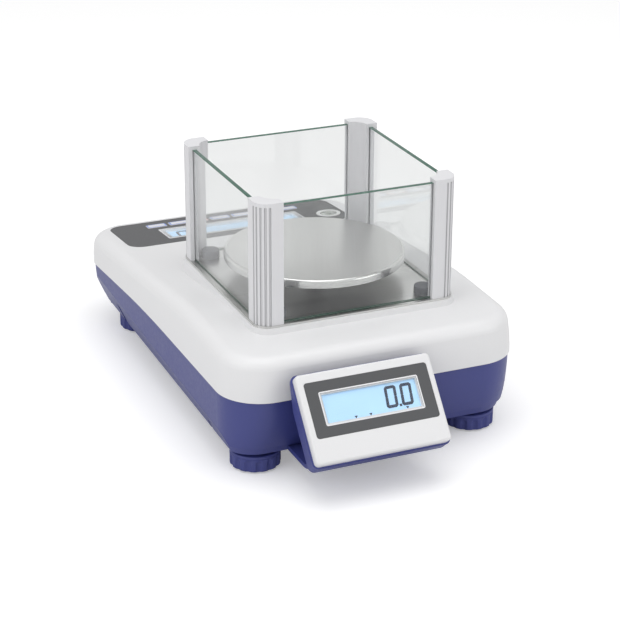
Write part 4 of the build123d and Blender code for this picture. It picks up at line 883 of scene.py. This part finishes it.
class BALANCE_OT_stage(bpy.types.Operator):
    """Set the floor, the background, the soft lamps and the camera"""

    bl_idname = "balance.stage"
    bl_label = "Stage"

    def execute(self, context):
        scene = context.scene
        scene.view_settings.view_transform = "Standard"
        self.make_world(scene)
        self.make_floor(scene)
        self.make_lamps(scene)
        self.make_camera(scene, scene.balance_sizes.lens)
        return {"FINISHED"}

    def make_world(self, scene):
        """White background for what the camera and glass see, and a softer white for lighting and for gloss.
        """
        world = bpy.data.worlds.new("studio")
        world.use_nodes = True
        world.node_tree.nodes.clear()
        tree = Tree(world.node_tree)
        path = tree.add("LightPath").outputs
        seen = tree.math("ADD", path["Is Camera Ray"], path["Is Transmission Ray"], clamp=True)
        strength = tree.ranged(seen, 0.0, 1.0, 0.62, 1.0)
        background = tree.add("Background", {"Color": (1.0, 1.0, 1.0, 1.0), "Strength": strength})
        output = tree.add("OutputWorld")
        world.node_tree.links.new(background.outputs[0], output.inputs[0])
        scene.world = world

    def make_floor(self, scene):
        """Pale floor that keeps the shadow; a share of white is added for what looks straight at it."""
        mesh = bpy.data.meshes.new("floor")
        reach = 6.0
        corners = [(-reach, -reach, 0), (reach, -reach, 0), (reach, reach, 0), (-reach, reach, 0)]
        mesh.from_pydata(corners, [], [(0, 1, 2, 3)])
        floor = bpy.data.objects.new("floor", mesh)
        scene.collection.objects.link(floor)
        material, tree, coords = new_material("floor_white")
        soft = tree.ranged(tree.noise(coords, 3.0, 2.0, 0.5), 0.3, 0.7, 0.995, 1.0)
        diffuse = tree.add("BsdfDiffuse", {"Color": toned(tree, (0.86, 0.86, 0.86), soft)})
        path = tree.add("LightPath").outputs
        through = tree.math("MULTIPLY", path["Is Transmission Ray"], 0.12)
        seen = tree.math("ADD", tree.math("MULTIPLY", path["Is Camera Ray"], 0.3), through)
        glow = tree.add("Emission", {"Color": (1.0, 1.0, 1.0, 1.0), "Strength": seen})
        both = tree.add("AddShader", {0: diffuse.outputs[0], 1: glow.outputs[0]})
        output = tree.add("OutputMaterial")
        tree.tree.links.new(both.outputs[0], output.inputs[0])
        mesh.materials.append(material)

    def make_lamps(self, scene):
        """Large soft lamps: one overhead, one at each side, each aimed at the middle of the balance."""
        aim = Vector((0.0, 0.0, 0.07))
        lamps = (
            ("overhead", (0.1, 0.2, 1.5), 1.3, 9.0),
            ("reader_left", (1.5, 0.5, 0.9), 1.1, 5.0),
            ("reader_right", (-1.2, 1.3, 0.8), 1.0, 4.0),
        )
        for name, place, size, power in lamps:
            data = bpy.data.lights.new(name, "AREA")
            data.shape = "SQUARE"
            data.size = size
            data.energy = power
            lamp = bpy.data.objects.new(name, data)
            lamp.location = place
            lamp.rotation_euler = (aim - Vector(place)).to_track_quat("-Z", "Y").to_euler()
            scene.collection.objects.link(lamp)

    def make_camera(self, scene, lens):
        """Camera at the photograph's angle."""
        axis = Vector((PAN_AXIS[0], PAN_AXIS[1], 0.0))
        place = axis + Vector(CAMERA_FROM_PAN) * MM
        aim = axis + Vector(CAMERA_AIM) * MM
        data = bpy.data.cameras.new("camera")
        data.lens = lens
        data.sensor_width = 36.0
        data.clip_start = 0.01
        data.clip_end = 50.0
        camera = bpy.data.objects.new("camera", data)
        turn = (aim - place).to_track_quat("-Z", "Y").to_matrix().to_4x4()
        camera.matrix_world = Matrix.Translation(place) @ turn @ Matrix.Rotation(CAMERA_ROLL, 4, "Z")
        scene.collection.objects.link(camera)
        scene.camera = camera


OPERATORS = (BALANCE_OT_stage, BALANCE_OT_finishes, BALANCE_OT_shield, BALANCE_OT_pan, BALANCE_OT_displays,
             BALANCE_OT_keys, BALANCE_OT_level, BALANCE_OT_feet, BALANCE_OT_fasteners, BALANCE_OT_sockets)


class BALANCE_PT_panel(bpy.types.Panel):
    """Buttons and settings of the balance"""

    bl_label = "Balance"
    bl_idname = "BALANCE_PT_panel"
    bl_space_type = "VIEW_3D"
    bl_region_type = "UI"
    bl_category = "Balance"

    def draw(self, context):
        for operator in OPERATORS:
            self.layout.operator(operator.bl_idname)
        for group in (context.scene.balance_colours, context.scene.balance_sizes):
            for key in group.__annotations__:
                self.layout.prop(group, key)


CLASSES = (BalanceColours, BalanceSizes, *OPERATORS, BALANCE_PT_panel)


def register():
    """Register the classes and hang the settings on the scene."""
    for item in CLASSES:
        bpy.utils.register_class(item)
    bpy.types.Scene.balance_colours = bpy.props.PointerProperty(type=BalanceColours)
    bpy.types.Scene.balance_sizes = bpy.props.PointerProperty(type=BalanceSizes)


def unregister():
    """Take the settings and the classes away again."""
    del bpy.types.Scene.balance_colours
    del bpy.types.Scene.balance_sizes
    for item in reversed(CLASSES):
        bpy.utils.unregister_class(item)


def main():
    """Register and run every operator in order."""
    register()
    for operator in OPERATORS:
        group, name = operator.bl_idname.split(".")
        getattr(getattr(bpy.ops, group), name)()


if __name__ == "__main__":
    main()
